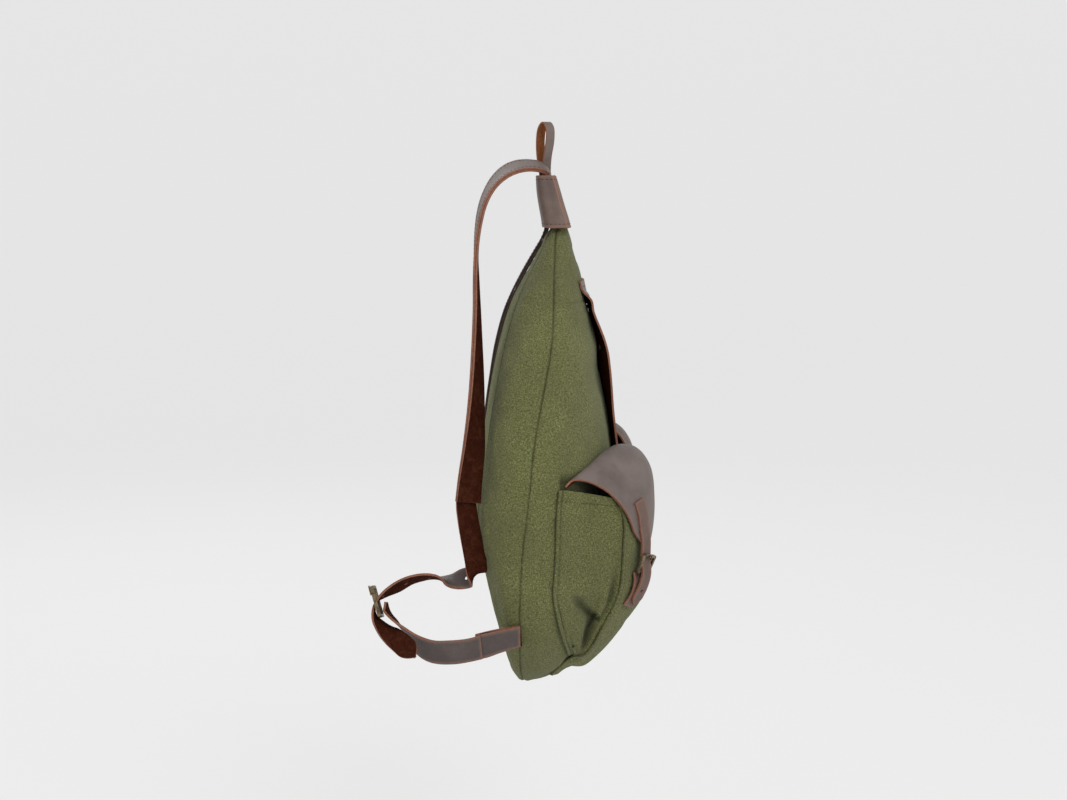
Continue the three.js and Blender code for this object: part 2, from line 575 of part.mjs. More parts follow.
function roundedRectangle(path, width, height, radius) {
  const [x, y] = [width / 2 - radius, height / 2 - radius];
  path.absarc(x, y, radius, 0, Math.PI / 2);
  path.absarc(-x, y, radius, Math.PI / 2, Math.PI);
  path.absarc(-x, -y, radius, Math.PI, 1.5 * Math.PI);
  path.absarc(x, -y, radius, 1.5 * Math.PI, 2 * Math.PI);
  path.closePath();
}

// Turns a buckle so that its top bar lies at one point and its heel bar at the other.
function buckleBasis(top, heel, across) {
  const up = top.clone().sub(heel).normalize();
  const forward = across.clone().cross(up).normalize();
  const right = up.clone().cross(forward);
  const middle = top.clone().add(heel).multiplyScalar(0.5);
  return new THREE.Matrix4().makeBasis(right, up, forward).setPosition(middle);
}

// The prong shows from the strap to the top bar, on the outer face of the frame.
function prong({ height, bar, depth }) {
  const { tip, root, overhang, lift } = prongSize;
  const length = height * prongSize.length;
  const rod = plain(new THREE.CylinderGeometry(bar * tip, bar * root, length, 8));
  return mergeVertices(rod, weldDistance)
    .translate(0, (height - length) / 2 + overhang, depth / 2 + bar * root + lift);
}

function addBuckle(name, size, top, heel, across) {
  const basis = buckleBasis(top, heel, across);
  const frame = mergeVertices(buckleFrame(size), weldDistance).applyMatrix4(basis);
  addPiece(`${name}_buckle`, facingOut(frame), metal);
  addPiece(`${name}_prong`, facingOut(prong(size).applyMatrix4(basis)), metal);
}

// A place on a pocket, given as on the left one.
function pocketPlace({ sign, flatter }, out, y, drop) {
  const [first, second] = flattenLevels;
  const share = THREE.MathUtils.clamp((y - first) / (second - first), 0, 1);
  return new THREE.Vector3(sign * out, y + flatter * share, -drop);
}

// The last place outside the bag on the way from a point to a target inside.
function sewnPlace(point, target) {
  const place = point.clone();
  let [outside, inside] = [0, 1];
  while (inside - outside > 1e-3) {
    const share = (outside + inside) / 2;
    place.lerpVectors(point, target, share);
    if (place.y < bagFrontY(place.x, -place.z) - sewnGap) {
      outside = share;
    } else {
      inside = share;
    }
  }
  return place.lerpVectors(point, target, outside);
}

function addPocket(side) {
  const { name, sign } = side;
  const pocketAt = tableReader(pocketRows);
  const pocketWall = { thickness: woolThickness, outward: sign };
  const front = (u, v) => {
    const row = pocketAt(v);
    const edge = pocketPlace(side, row.edgeOut, row.edgeY, row.edgeDrop);
    const crown = pocketPlace(side, row.crownOut, row.crownY, row.crownDrop);
    const inner = pocketPlace(side, pocketInnerOut, row.innerY, row.innerDrop);
    const point = arcThrough(edge, crown, inner, u);
    point.z = Math.min(point.z, -bagUnderDrop(point.x, point.y) - pocketBaseLift);
    return point;
  };
  const behindFront = (u, v) => front(u, v).addScaledVector(normalAt(front, u, v), -sign * buttGap);
  const rootPoint = (row, y) => {
    const slope = (bagSideOut(y + 1, row.rootDrop) - bagSideOut(y - 1, row.rootDrop)) / 2;
    const lift = row.rootLift / Math.hypot(1, slope);
    return new THREE.Vector3(sign * (bagSideOut(y, row.rootDrop) + lift), y - slope * lift, -row.rootDrop);
  };
  const outer = (u, v) => {
    const row = pocketAt(v * outerGussetEnd);
    if (u < flangeShare) {
      return rootPoint(row, row.rootY + pocketFlange * (1 - u / flangeShare));
    }
    const share = (u - flangeShare) / (1 - flangeShare);
    const point = rootPoint(row, row.rootY).lerp(behindFront(0, v * outerGussetEnd), share);
    const { across, along, depth, width, height } = gussetFold;
    const dent = depth * Math.exp(-(((share - across) / width) ** 2) - ((v - along) / height) ** 2);
    point.x -= sign * (gussetSag * (1 - v) + dent) * Math.sin(Math.PI * share);
    return point;
  };
  const inner = (u, v) => {
    const edge = behindFront(1, v * innerGussetEnd);
    const target = new THREE.Vector3(edge.x, underInsideY, Math.max(edge.z, -innerGussetRise));
    return edge.clone().lerp(sewnPlace(edge, target), u);
  };
  addPiece(`pocket_front_${name}`, wall(front, { ...pocketWall, ...grids.pocketFront }), wool);
  addPiece(`pocket_gusset_outer_${name}`, wall(outer, { ...pocketWall, ...grids.outerGusset }), wool);
  addPiece(`pocket_gusset_inner_${name}`, wall(inner, { ...pocketWall, ...grids.innerGusset }), wool);
}

function addPocketFlap(side) {
  const { name, sign } = side;
  const flapAt = tableReader(pocketFlapRows);
  const surface = (u, v) => {
    const row = flapAt(v);
    const edge = pocketPlace(side, row.edgeOut, row.edgeY, row.edgeDrop);
    const crown = pocketPlace(side, row.crownOut, row.crownY, row.crownDrop);
    const inner = pocketPlace(side, row.innerOut, row.innerY, row.innerDrop);
    return keptOffBag(arcThrough(edge, crown, inner, u), pocketFlapLift);
  };
  const options = { ...grids.pocketFlap, thickness: leatherThickness, outward: sign };
  addPiece(`pocket_flap_${name}`, wall(surface, options), leather);

  const clear = sign * (leatherThickness / 2 + pocketStrapLift);
  const face = [sign * pocketStrapFace.out, pocketStrapFace.y, 0];
  const asRow = (point) => ({ x: point.x, y: point.y, drop: -point.z, face });
  const onFlap = pocketStrapOnFlap.starts.map((v) => {
    const { across } = pocketStrapOnFlap;
    return asRow(surface(across, v).addScaledVector(normalAt(surface, across, v), clear));
  });
  const placed = (row) => asRow(pocketPlace(side, row.out, row.y, row.drop));
  const closing = [...onFlap, ...pocketStrapRows.map(placed)];
  addPiece(`pocket_strap_${name}`, strap(closing, pocketStrap), strapLeather);
  addPiece(`pocket_chape_${name}`, strap(pocketChapeRows.map(placed), pocketChape), strapLeather);
  const { out, topY, topDrop, heelY, heelDrop } = pocketBuckle;
  const top = pocketPlace(side, out, topY, topDrop);
  const heel = pocketPlace(side, out, heelY, heelDrop);
  const across = new THREE.Vector3(-pocketStrapFace.y, sign * pocketStrapFace.out, 0);
  addBuckle(`pocket_${name}`, pocketBuckle, top, heel, across);
}

function addShoulderStrap(name, shoulder, lower, anchor, { top, heel, across }) {
  const onBack = shoulder.map((row) => ({ ...row, y: row.y ?? bagBackY(row.x, row.drop) + row.lift }));
  addPiece(`shoulder_strap_${name}`, strap(onBack, shoulderStrap), strapLeather);
  addPiece(`lower_strap_${name}`, strap(lower, lowerStrap), strapLeather);
  addPiece(`anchor_strap_${name}`, strap(anchor, anchorStrap), leather);
  const place = ([x, y, drop]) => new THREE.Vector3(x, y, -drop);
  addBuckle(`strap_${name}`, strapBuckle, place(top), place(heel), new THREE.Vector3(...across));
}

function addAnchorTab({ name, sign, tabReach }) {
  const rows = tabRows.map(({ out, y, drop, face: [faceOut, faceY, faceZ] }) =>
    ({ x: sign * out, y: y * tabReach, drop, face: [sign * faceOut, faceY, faceZ] }));
  addPiece(`anchor_tab_${name}`, strap(rows, anchorTab), leather);
}

addBag();
addYoke();
addHangLoop();
addMainFlap();
sides.forEach((side) => {
  addPocket(side);
  addPocketFlap(side);
  addAnchorTab(side);
});
addShoulderStrap('left', shoulderStrapLeft, lowerStrapLeft, anchorStrapLeft, strapBuckleLeft);
addShoulderStrap('right', shoulderStrapRight, lowerStrapRight, anchorStrapRight, strapBuckleRight);

export default rucksack;
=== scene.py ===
import math

import bmesh
import bpy
import numpy as np
from mathutils import Matrix, Vector, noise


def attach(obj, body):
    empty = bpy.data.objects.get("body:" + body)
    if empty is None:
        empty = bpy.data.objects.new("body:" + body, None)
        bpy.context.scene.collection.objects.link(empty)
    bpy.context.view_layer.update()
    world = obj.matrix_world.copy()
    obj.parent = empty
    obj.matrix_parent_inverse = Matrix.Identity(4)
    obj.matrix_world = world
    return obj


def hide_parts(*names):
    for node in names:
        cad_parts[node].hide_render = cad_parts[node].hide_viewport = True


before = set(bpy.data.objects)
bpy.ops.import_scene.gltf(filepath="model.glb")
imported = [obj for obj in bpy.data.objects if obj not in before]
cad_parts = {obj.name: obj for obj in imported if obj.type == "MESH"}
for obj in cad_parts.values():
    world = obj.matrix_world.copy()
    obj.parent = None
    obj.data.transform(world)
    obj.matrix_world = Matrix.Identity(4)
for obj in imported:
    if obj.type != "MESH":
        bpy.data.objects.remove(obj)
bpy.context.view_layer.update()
mm = 0.001
weld = 1e-5                             # points closer than this are one
tinyArea, tinyLength = 1e-12, 1e-9      # nothing is divided by less
print("frame:", len(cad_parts), "nodes")


def linkObject(name, data):
    thing = bpy.data.objects.new(name, data)
    bpy.context.scene.collection.objects.link(thing)
    return thing


def aim(thing, place, target):
    thing.location = place
    looks = Vector(target) - Vector(place)
    thing.rotation_euler = looks.to_track_quat("-Z", "Y").to_euler()


# camera at the photograph's place
photoView = {"stand": (-1.9, 0.0125, -0.074), "target": (0, 0.0125, -0.274),
             "focalPixels": 1910.5, "imageWide": 1067, "sensor": 36}


def setCamera():
    lens = bpy.data.cameras.new("photoCamera")
    lens.sensor_width = photoView["sensor"]
    lens.lens = photoView["focalPixels"] / photoView["imageWide"] * photoView["sensor"]
    camera = linkObject("photoCamera", lens)
    aim(camera, photoView["stand"], photoView["target"])
    bpy.context.scene.camera = camera


setCamera()
print("camera set")


# small helpers for node materials
def newMaterial(name, **sockets):
    material = bpy.data.materials.new(name)
    material.use_nodes = True
    tree = material.node_tree
    shader = tree.nodes["Principled BSDF"]
    for socket, value in sockets.items():
        shader.inputs[socket.replace("_", " ")].default_value = value
    return material, tree, shader


def addNode(tree, kind, sockets=None, **settings):
    node = tree.nodes.new(kind)
    for key, value in settings.items():
        setattr(node, key, value)
    for socket, value in (sockets or {}).items():
        if isinstance(value, bpy.types.NodeSocket):
            tree.links.new(value, node.inputs[socket])
        else:
            node.inputs[socket].default_value = value
    return node


def objectCoords(tree):
    return addNode(tree, "ShaderNodeTexCoord").outputs["Object"]


def markOf(tree, name):
    return addNode(tree, "ShaderNodeAttribute", attribute_name=name).outputs["Fac"]


def noiseAt(tree, coords, scale, detail, roughness, distortion=0.0):
    sockets = {"Vector": coords, "Scale": scale, "Detail": detail, "Roughness": roughness,
               "Distortion": distortion}
    return addNode(tree, "ShaderNodeTexNoise", sockets).outputs["Fac"]


def colourRamp(tree, source, stops, colours):
    node = addNode(tree, "ShaderNodeValToRGB", {"Fac": source})
    bar = node.color_ramp
    while len(bar.elements) < len(stops):
        bar.elements.new(0.5)
    for element, stop, colour in zip(bar.elements, stops, colours):
        element.position = stop
        element.color = (*colour, 1)
    return node.outputs["Color"]


def mixColour(tree, factor, first, second, blend="MIX"):
    node = addNode(tree, "ShaderNodeMix", {0: factor, 6: first, 7: second},
                   data_type="RGBA", blend_type=blend)
    return node.outputs[2]


def spread(tree, source, low, high, fromLow=0.0, fromHigh=1.0):
    sockets = {"Value": source, "From Min": fromLow, "From Max": fromHigh,
               "To Min": low, "To Max": high}
    return addNode(tree, "ShaderNodeMapRange", sockets).outputs["Result"]


def combine(tree, first, second, how="MULTIPLY"):
    return addNode(tree, "ShaderNodeMath", {0: first, 1: second}, operation=how).outputs[0]


def bump(tree, shader, *layers):
    normal = None
    for height, depth in layers:
        sockets = {"Height": height, "Distance": depth, "Strength": 1.0}
        if normal is not None:
            sockets["Normal"] = normal
        normal = addNode(tree, "ShaderNodeBump", sockets).outputs["Normal"]
    tree.links.new(normal, shader.inputs["Normal"])


# in the looks, a noise is its scale, detail, roughness and distortion;
# noise stays near 0.5, so a spread starts from one of these parts of its range
midRange, wideRange, highRange = (0.3, 0.7), (0.25, 0.75), (0.45, 0.75)

# wool: felted olive weave of slubby threads with paler and darker hairs, and painted shade in its
# seams, fold valleys, grooves and pocket insides
woolLook = {"dark": (0.055, 0.060, 0.021), "middle": (0.116, 0.121, 0.044),
            "pale": (0.215, 0.218, 0.100), "stops": (0.26, 0.50, 0.75),
            "wearAndShadePatches": (0.140, 0.139, 0.060), "wornShare": 0.35,
            "seam": (0.018, 0.020, 0.008), "seamShare": 0.85,
            "thread": 0.0009, "slub": 2.8, "yarn": (1.0, 2.0, 0.6), "weaveRange": (0.6, 1.4),
            "weaveShare": 0.6, "mottle": (760, 3.0, 0.65), "mottleShare": 0.4,
            "hair": (1400, 3.0, 0.7), "hairShade": (0.80, 1.20),
            "cloud": (22, 4.0, 0.6), "cloudShade": (1.14, 0.86),
            "rough": 0.94, "gloss": 0.12, "sheen": 0.08, "sheenRough": 0.5,
            "weaveBump": 0.0005, "mottleBump": 0.0004, "hairBump": 0.0002}


def makeWool(look):
    material, tree, shader = newMaterial(
        "oliveWool", Roughness=look["rough"], Sheen_Weight=look["sheen"],
        Sheen_Roughness=look["sheenRough"], Specular_IOR_Level=look["gloss"])
    coords = objectCoords(tree)
    flat = addNode(tree, "ShaderNodeUVMap", uv_map="flat").outputs["UV"]
    fine = 1 / look["thread"]
    long = fine / look["slub"]
    warp, weft = (noiseAt(tree, addNode(tree, "ShaderNodeMapping", {"Vector": flat, "Scale": scale})
                          .outputs["Vector"], *look["yarn"])
                  for scale in ((fine, long, 1), (long, fine, 1)))
    weave = combine(tree, warp, weft, "ADD")
    mottle, hair, cloud = (noiseAt(tree, coords, *look[key]) for key in ("mottle", "hair", "cloud"))
    mixed = combine(tree, spread(tree, weave, 0.0, look["weaveShare"], *look["weaveRange"]),
                    spread(tree, mottle, 0.0, look["mottleShare"], *wideRange), "ADD")
    base = colourRamp(tree, mixed, look["stops"], (look["dark"], look["middle"], look["pale"]))
    rubbed = spread(tree, cloud, 0.0, look["wornShare"], *highRange)
    wearAndShadePatches = mixColour(tree, rubbed, base, (*look["wearAndShadePatches"], 1))
    shade = combine(tree, spread(tree, hair, *look["hairShade"], *midRange),
                    spread(tree, cloud, *look["cloudShade"], *midRange))
    colour = mixColour(tree, 1.0, wearAndShadePatches, shade, "MULTIPLY")
    # painted shade: the sheet's mark darkens the wool towards near-black olive in seams, folds,
    # grooves and pockets
    paintedShade = spread(tree, markOf(tree, "paintedShade"), 0.0, look["seamShare"])
    sewn = mixColour(tree, paintedShade, colour, (*look["seam"], 1))
    tree.links.new(sewn, shader.inputs["Base Color"])
    bump(tree, shader, (weave, look["weaveBump"]), (mottle, look["mottleBump"]),
         (hair, look["hairBump"]))
    return material


# leather: waxed taupe grain, rough red-brown flesh, burnished rust edge
leatherLook = {"grain": (0.150, 0.116, 0.103), "grainDark": (0.089, 0.063, 0.054),
               "grainPale": (0.214, 0.171, 0.154), "rub": (0.200, 0.098, 0.066),
               "raw": (0.235, 0.120, 0.080),
               "edge": (0.250, 0.098, 0.055), "edgeDark": (0.110, 0.040, 0.023),
               "edgePale": (0.380, 0.185, 0.115)}
brownLook = {**leatherLook, "grain": (0.135, 0.080, 0.062), "grainDark": (0.075, 0.038, 0.027),
             "grainPale": (0.205, 0.135, 0.105)}
yokeLook = {**leatherLook, "grain": (0.126, 0.083, 0.066), "grainDark": (0.074, 0.045, 0.035),
            "grainPale": (0.196, 0.140, 0.115)}
strapLook = {**leatherLook, "grain": (0.070, 0.051, 0.046), "grainDark": (0.040, 0.027, 0.024),
             "grainPale": (0.118, 0.092, 0.084)}
grainMake = {"gloss": 0.45, "rough": (0.40, 0.62), "stops": (0.22, 0.52, 0.86), "pores": 850.0,
             "creases": (260, 5.0, 0.65, 0.6), "pull": (34, 5.0, 0.62, 0.4),
             "blotch": (9, 3.0, 0.5), "blotchShare": 0.25, "blotchRange": (0.42, 0.72),
             "rubShare": 0.85, "rubReach": (0.0004, 0.0032), "rubBreaks": (0.5, 1.2),
             "rawRange": (0.3, 0.9), "poreBump": 0.00035, "creaseBump": 0.00022, "pullBump": 0.0005}


def makeGrain(name, look):
    make = grainMake
    material, tree, shader = newMaterial(name, Specular_IOR_Level=make["gloss"])
    coords = objectCoords(tree)
    pores = addNode(tree, "ShaderNodeTexVoronoi",
                    {"Vector": coords, "Scale": make["pores"], "Randomness": 1.0},
                    feature="DISTANCE_TO_EDGE").outputs["Distance"]
    creases, pull, blotch = (noiseAt(tree, coords, *make[key])
                             for key in ("creases", "pull", "blotch"))
    tone = colourRamp(tree, pull, make["stops"],
                      (look["grainDark"], look["grain"], look["grainPale"]))
    stained = spread(tree, blotch, 0.0, make["blotchShare"], *make["blotchRange"])
    tone = mixColour(tree, stained, tone, (*look["grainDark"], 1))
    atEdge = spread(tree, markOf(tree, "fromEdge"), make["rubShare"], 0.0, *make["rubReach"])
    rubbed = combine(tree, atEdge, spread(tree, creases, *make["rubBreaks"], *midRange))
    colour = mixColour(tree, rubbed, tone, (*look["rub"], 1))
    raw = spread(tree, markOf(tree, "rust"), 0.0, 1.0, *make["rawRange"])
    colour = mixColour(tree, raw, colour, (*look["raw"], 1))
    tree.links.new(colour, shader.inputs["Base Color"])
    tree.links.new(spread(tree, pull, *make["rough"], *wideRange), shader.inputs["Roughness"])
    bump(tree, shader, (pores, make["poreBump"]), (creases, make["creaseBump"]),
         (pull, make["pullBump"]))
    return material


fleshLook = {"colour": (0.042, 0.0110, 0.0055), "pale": (0.080, 0.027, 0.015), "darkShare": 0.6,
             "stops": (0.28, 0.5, 0.78), "rough": 0.92, "gloss": 0.02,
             "nap": (900, 4.0, 0.7), "napShade": (0.75, 1.25), "fibre": (120, 6.0, 0.68, 1.2),
             "napBump": 0.0003, "fibreBump": 0.0005}
loopFleshLook = {**fleshLook, "colour": (0.230, 0.085, 0.033), "pale": (0.330, 0.140, 0.065)}


def makeFlesh(name, look):
    material, tree, shader = newMaterial(name, Roughness=look["rough"],
                                         Specular_IOR_Level=look["gloss"])
    coords = objectCoords(tree)
    nap, fibre = (noiseAt(tree, coords, *look[key]) for key in ("nap", "fibre"))
    dark = tuple(look["darkShare"] * c for c in look["colour"])
    tone = colourRamp(tree, fibre, look["stops"], (dark, look["colour"], look["pale"]))
    shade = spread(tree, nap, *look["napShade"], *midRange)
    shaded = mixColour(tree, 1.0, tone, shade, "MULTIPLY")
    tree.links.new(shaded, shader.inputs["Base Color"])
    bump(tree, shader, (nap, look["napBump"]), (fibre, look["fibreBump"]))
    return material


# painted shade: a near-black copy of the rust edge for the far shoulder strap, which lies in shadow
shadedEdgeLook = {"edge": (0.040, 0.024, 0.018), "edgeDark": (0.020, 0.012, 0.009),
                "edgePale": (0.075, 0.045, 0.034)}
edgeMake = {"gloss": 0.4, "rough": (0.45, 0.75), "stops": (0.30, 0.56, 0.80),
            "fibre": (700, 5.0, 0.7, 0.8), "patch": (60, 3.0, 0.5), "patchShare": 0.45,
            "fibreBump": 0.0003}


def makeEdge(name, look):
    make = edgeMake
    material, tree, shader = newMaterial(name, Specular_IOR_Level=make["gloss"])
    coords = objectCoords(tree)
    fibre, patch = (noiseAt(tree, coords, *make[key]) for key in ("fibre", "patch"))
    tone = colourRamp(tree, fibre, make["stops"],
                      (look["edgeDark"], look["edge"], look["edgePale"]))
    stained = spread(tree, patch, 0.0, make["patchShare"], *highRange)
    tone = mixColour(tree, stained, tone, (*look["edgeDark"], 1))
    tree.links.new(tone, shader.inputs["Base Color"])
    tree.links.new(spread(tree, fibre, *make["rough"]), shader.inputs["Roughness"])
    bump(tree, shader, (fibre, make["fibreBump"]))
    return material


# metal: dark antique brass, brighter where it is rubbed
metalLook = {"dark": (0.035, 0.027, 0.018), "bright": (0.26, 0.20, 0.12), "stops": (0.32, 0.60),
             "rough": (0.50, 0.24), "tarnish": (220, 5.0, 0.65), "scratch": (1500, 2.0, 0.5),
             "scratchBump": 0.00006, "tarnishBump": 0.0001}


def makeMetal(look):
    material, tree, shader = newMaterial("antiqueBrass", Metallic=1.0)
    coords = objectCoords(tree)
    tarnish, scratch = (noiseAt(tree, coords, *look[key]) for key in ("tarnish", "scratch"))
    tone = colourRamp(tree, tarnish, look["stops"], (look["dark"], look["bright"]))
    tree.links.new(tone, shader.inputs["Base Color"])
    tree.links.new(spread(tree, tarnish, *look["rough"], *midRange), shader.inputs["Roughness"])
    bump(tree, shader, (scratch, look["scratchBump"]), (tarnish, look["tarnishBump"]))
    return material


threadLook = {"brown": (0.070, 0.040, 0.026), "olive": (0.075, 0.080, 0.036), "darkShare": 0.5,
              "stops": (0.35, 0.65), "rough": 0.7, "gloss": 0.3, "twist": (2200, 2.0, 0.5),
              "twistBump": 0.0001}


def makeThread(name, colour):
    look = threadLook
    material, tree, shader = newMaterial(name, Roughness=look["rough"],
                                         Specular_IOR_Level=look["gloss"])
    twist = noiseAt(tree, objectCoords(tree), *look["twist"])
    dark = tuple(look["darkShare"] * c for c in colour)
    tone = colourRamp(tree, twist, look["stops"], (dark, colour))
    tree.links.new(tone, shader.inputs["Base Color"])
    bump(tree, shader, (twist, look["twistBump"]))
    return material


oliveWool = makeWool(woolLook)
taupeGrain = makeGrain("taupeGrain", leatherLook)
brownGrain = makeGrain("brownGrain", brownLook)
strapGrain = makeGrain("strapGrain", strapLook)
yokeGrain = makeGrain("yokeGrain", yokeLook)
redFlesh = makeFlesh("redFlesh", fleshLook)
loopFlesh = makeFlesh("loopFlesh", loopFleshLook)
rustEdge = makeEdge("rustEdge", leatherLook)
shadedEdge = makeEdge("shadedEdge", shadedEdgeLook)
antiqueBrass = makeMetal(metalLook)
brownThread = makeThread("brownThread", threadLook["brown"])
oliveThread = makeThread("oliveThread", threadLook["olive"])
# good side, back and rim of a sheet
woolSides = [oliveWool, oliveWool, oliveWool]
leatherSides = [taupeGrain, redFlesh, rustEdge]
yokeSides = [yokeGrain, redFlesh, rustEdge]
loopSides = [taupeGrain, loopFlesh, rustEdge]
# the far shoulder strap's cut edge is painted dark as shade
farSides = [taupeGrain, redFlesh, shadedEdge]
strapSides = [strapGrain, redFlesh, rustEdge]
brownSides = [brownGrain, redFlesh, rustEdge]
print("materials made")


# a CAD wall is a grid of facets with two sides and a rim, whose cross edges are as long
# as the wall is thick: its smooth side is read as rows of points
wallRead = {"slack": 2e-6, "facing": 0.5, "corner": math.radians(50)}


def sideFrom(bm, at, looks, thickness):
    crossEdges = [e for e in bm.edges if abs(e.calc_length() - thickness) < wallRead["slack"]]
    rim = {f for e in crossEdges for f in e.link_faces}
    seen = [f for f in bm.faces if f not in rim and f.normal.dot(looks) > wallRead["facing"]]
    seed = min(seen, key=lambda f: (f.calc_center_median() - at).length)
    side, waiting = {seed}, [seed]
    while waiting:
        for edge in waiting.pop().edges:
            for face in edge.link_faces:
                if face not in side and face not in rim:
                    side.add(face)
                    waiting.append(face)
    return side, seed


def walkSide(side, start, columns):
    beside = {}
    for edge in {e for f in side for e in f.edges if sum(g in side for g in e.link_faces) == 1}:
        for vert in edge.verts:
            beside.setdefault(vert, []).append(edge.other_vert(vert))

    def turning(vert):
        before, after = (v.co for v in beside[vert])
        return (vert.co - before).angle(after - vert.co)

    corners = [v for v in beside if turning(v) > wallRead["corner"]]
    first = min(corners, key=lambda v: (v.co - start).length)
    loop = [first, beside[first][0]]
    while True:
        following = next(v for v in beside[loop[-1]] if v is not loop[-2])
        if following is first:
            break
        loop.append(following)
    if turning(loop[columns]) < turning(loop[-columns]):
        loop = [first] + loop[:0:-1]
    left = ([first] + loop[:0:-1])[:len(loop) // 2 - columns + 1]
    near = {v: {e.other_vert(v) for e in v.link_edges} for f in side for v in f.verts}
    rows, used = [loop[:columns + 1]], set(loop[:columns + 1])
    for vert in left[1:]:
        row = [vert]
        used.add(vert)
        for above in rows[-1][1:]:
            row.append(next(v for v in near[above] & near[row[-1]] if v in near and v not in used))
            used.add(row[-1])
        rows.append(row)
    return np.array([[v.co[:] for v in row] for row in rows])


def readWall(name, columns, at, looks, start, thickness):
    bm = bmesh.new()
    bm.from_mesh(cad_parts[name].data)
    bmesh.ops.remove_doubles(bm, verts=bm.verts, dist=weld)
    bm.normal_update()
    side, seed = sideFrom(bm, Vector(at) * mm, Vector(looks).normalized(), thickness)
    grid = walkSide(side, Vector(start) * mm, columns)
    centre = np.array(seed.calc_center_median())
    outward = np.array(seed.normal)
    bm.free()
    middle = np.argmin(np.linalg.norm(grid - centre, axis=2))
    turn = 1 if normalsOf(grid)[np.unravel_index(middle, grid.shape[:2])] @ outward > 0 else -1
    return grid, turn


def normalsOf(grid):
    across = np.gradient(grid, axis=1)
    along = np.gradient(grid, axis=0)
    normals = np.cross(across, along)
    return normals / np.maximum(np.linalg.norm(normals, axis=2, keepdims=True), tinyArea)


# smooth curves through the rows, read at the given shares of the way
def throughRows(rows, places, at=None):
    if at is None:
        steps = np.linalg.norm(np.diff(rows, axis=0), axis=2).mean(axis=1)
        at = np.concatenate([[0], np.cumsum(steps)])
        at /= at[-1]
    slope = np.gradient(rows, at, axis=0)
    k = np.clip(np.searchsorted(at, places, side="right") - 1, 0, len(at) - 2)
    h = (at[k + 1] - at[k])[:, None, None]
    t = (places - at[k])[:, None, None] / h
    return (rows[k] * (1 + 2 * t) * (1 - t) ** 2 + slope[k] * h * t * (1 - t) ** 2
            + rows[k + 1] * t * t * (3 - 2 * t) + slope[k + 1] * h * t * t * (t - 1))


def finer(grid, over, down):
    rows = throughRows(grid, down)
    return throughRows(rows.transpose(1, 0, 2), over).transpose(1, 0, 2)


def resample(heights, over, down):
    rows = throughRows(heights[..., None], down, np.linspace(0, 1, heights.shape[0]))
    columns = throughRows(rows.transpose(1, 0, 2), over, np.linspace(0, 1, heights.shape[1]))
    return columns.transpose(1, 0, 2)[..., 0]


# even steps along a length, with extra ones at the given mm from both ends;
# "ends" is the share that these may take, "clear" the room to the next even step
stepRule = {"ends": 0.45, "clear": 0.4}


def shares(length, count, near):
    ends = [d * mm / length for d in near if d * mm < stepRule["ends"] * length]
    clear = max(ends, default=0) + stepRule["clear"] / count
    inner = [s for s in np.linspace(0, 1, count + 1)[1:-1] if clear < s < 1 - clear]
    return np.array(sorted([0, 1, *ends, *(1 - end for end in ends), *inner]))


# lengths measured along the cloth, as in the flat cut, and the distance from the nearest cut edge
def flatLengths(grid):
    across = np.linalg.norm(np.diff(grid, axis=1), axis=2)
    along = np.linalg.norm(np.diff(grid, axis=0), axis=2)
    u = np.concatenate([np.zeros((grid.shape[0], 1)), np.cumsum(across, axis=1)], axis=1)
    v = np.concatenate([np.zeros((1, grid.shape[1])), np.cumsum(along, axis=0)], axis=0)
    return u, v


def sideLengths(grid):
    u, v = flatLengths(grid)
    return {"top": v, "bottom": v[-1:] - v, "first": u, "last": u[:, -1:] - u}


def fromEdges(grid):
    return np.minimum.reduce(list(sideLengths(grid).values()))


# a sheet is a grid of points on its good side, the way that side looks, and marks for its colours:
# painted shade and raw leather edges
class Sheet:
    def __init__(self, grid, turn):
        self.grid, self.turn = grid, turn
        # painted shade: seam lines, fold valleys, grooves and the cloth in and under the pockets
        self.paintedShade = np.zeros(grid.shape[:2])  # shadowed seam lines
        self.rust = np.zeros(grid.shape[:2])    # raw leather edges on the face

    def normals(self):
        return normalsOf(self.grid) * self.turn

    def push(self, height):
        self.grid = self.grid + self.normals() * height[..., None]

    def shade(self, amount):
        self.paintedShade = np.maximum(self.paintedShade, amount)

    def steps(self, piece, nearSides, nearEnds):
        wide, long = (lengths.max() for lengths in flatLengths(self.grid))
        return shares(wide, piece["across"], nearSides), shares(long, piece["along"], nearEnds)

    def refined(self, over, down):
        return Sheet(finer(self.grid, over, down), self.turn)


def eased(distance, reach):
    share = np.clip(distance / reach, 0, 1)
    return share * share * (3 - 2 * share)


def ridgeAt(length, middle, width):
    return np.exp(-((length - middle) / width) ** 2)


seedShift = (3.1, 1.7, 2.3)


def noiseField(grid, scale, seed):
    shift = Vector([seed * part for part in seedShift])
    return np.array([[noise.noise(Vector(point) * scale + shift) for point in row] for row in grid])


def meshFrom(name, bm):
    mesh = bpy.data.meshes.new(name)
    for face in bm.faces:
        face.smooth = True
    bm.to_mesh(mesh)
    bm.free()
    return mesh


def finishPiece(name, bm, materials, replaces=()):
    mesh = meshFrom(name, bm)
    for material in materials:
        mesh.materials.append(material)
    piece = linkObject(name, mesh)
    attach(piece, "root")
    if replaces:
        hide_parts(*replaces)
    return piece


def roundEdges(bm, edges, size, rings):
    bmesh.ops.bevel(bm, geom=edges, offset=size, offset_type="OFFSET", segments=rings, profile=0.5,
                    affect="EDGES", material=-1, clamp_overlap=True)


# a flat grid to be shaped, with the row and column of each point
def flatGrid(rows, columns):
    bm = bmesh.new()
    bmesh.ops.create_grid(bm, x_segments=columns - 1, y_segments=rows - 1, size=0.5)
    return bm, [(round((0.5 - vert.co.y) * (rows - 1)), round((vert.co.x + 0.5) * (columns - 1)))
                for vert in bm.verts]


# one or more layers of a sheet become a closed wall each: good side, back and rim
plyMake = {"gap": 0.12 * mm, "rimRings": 2}


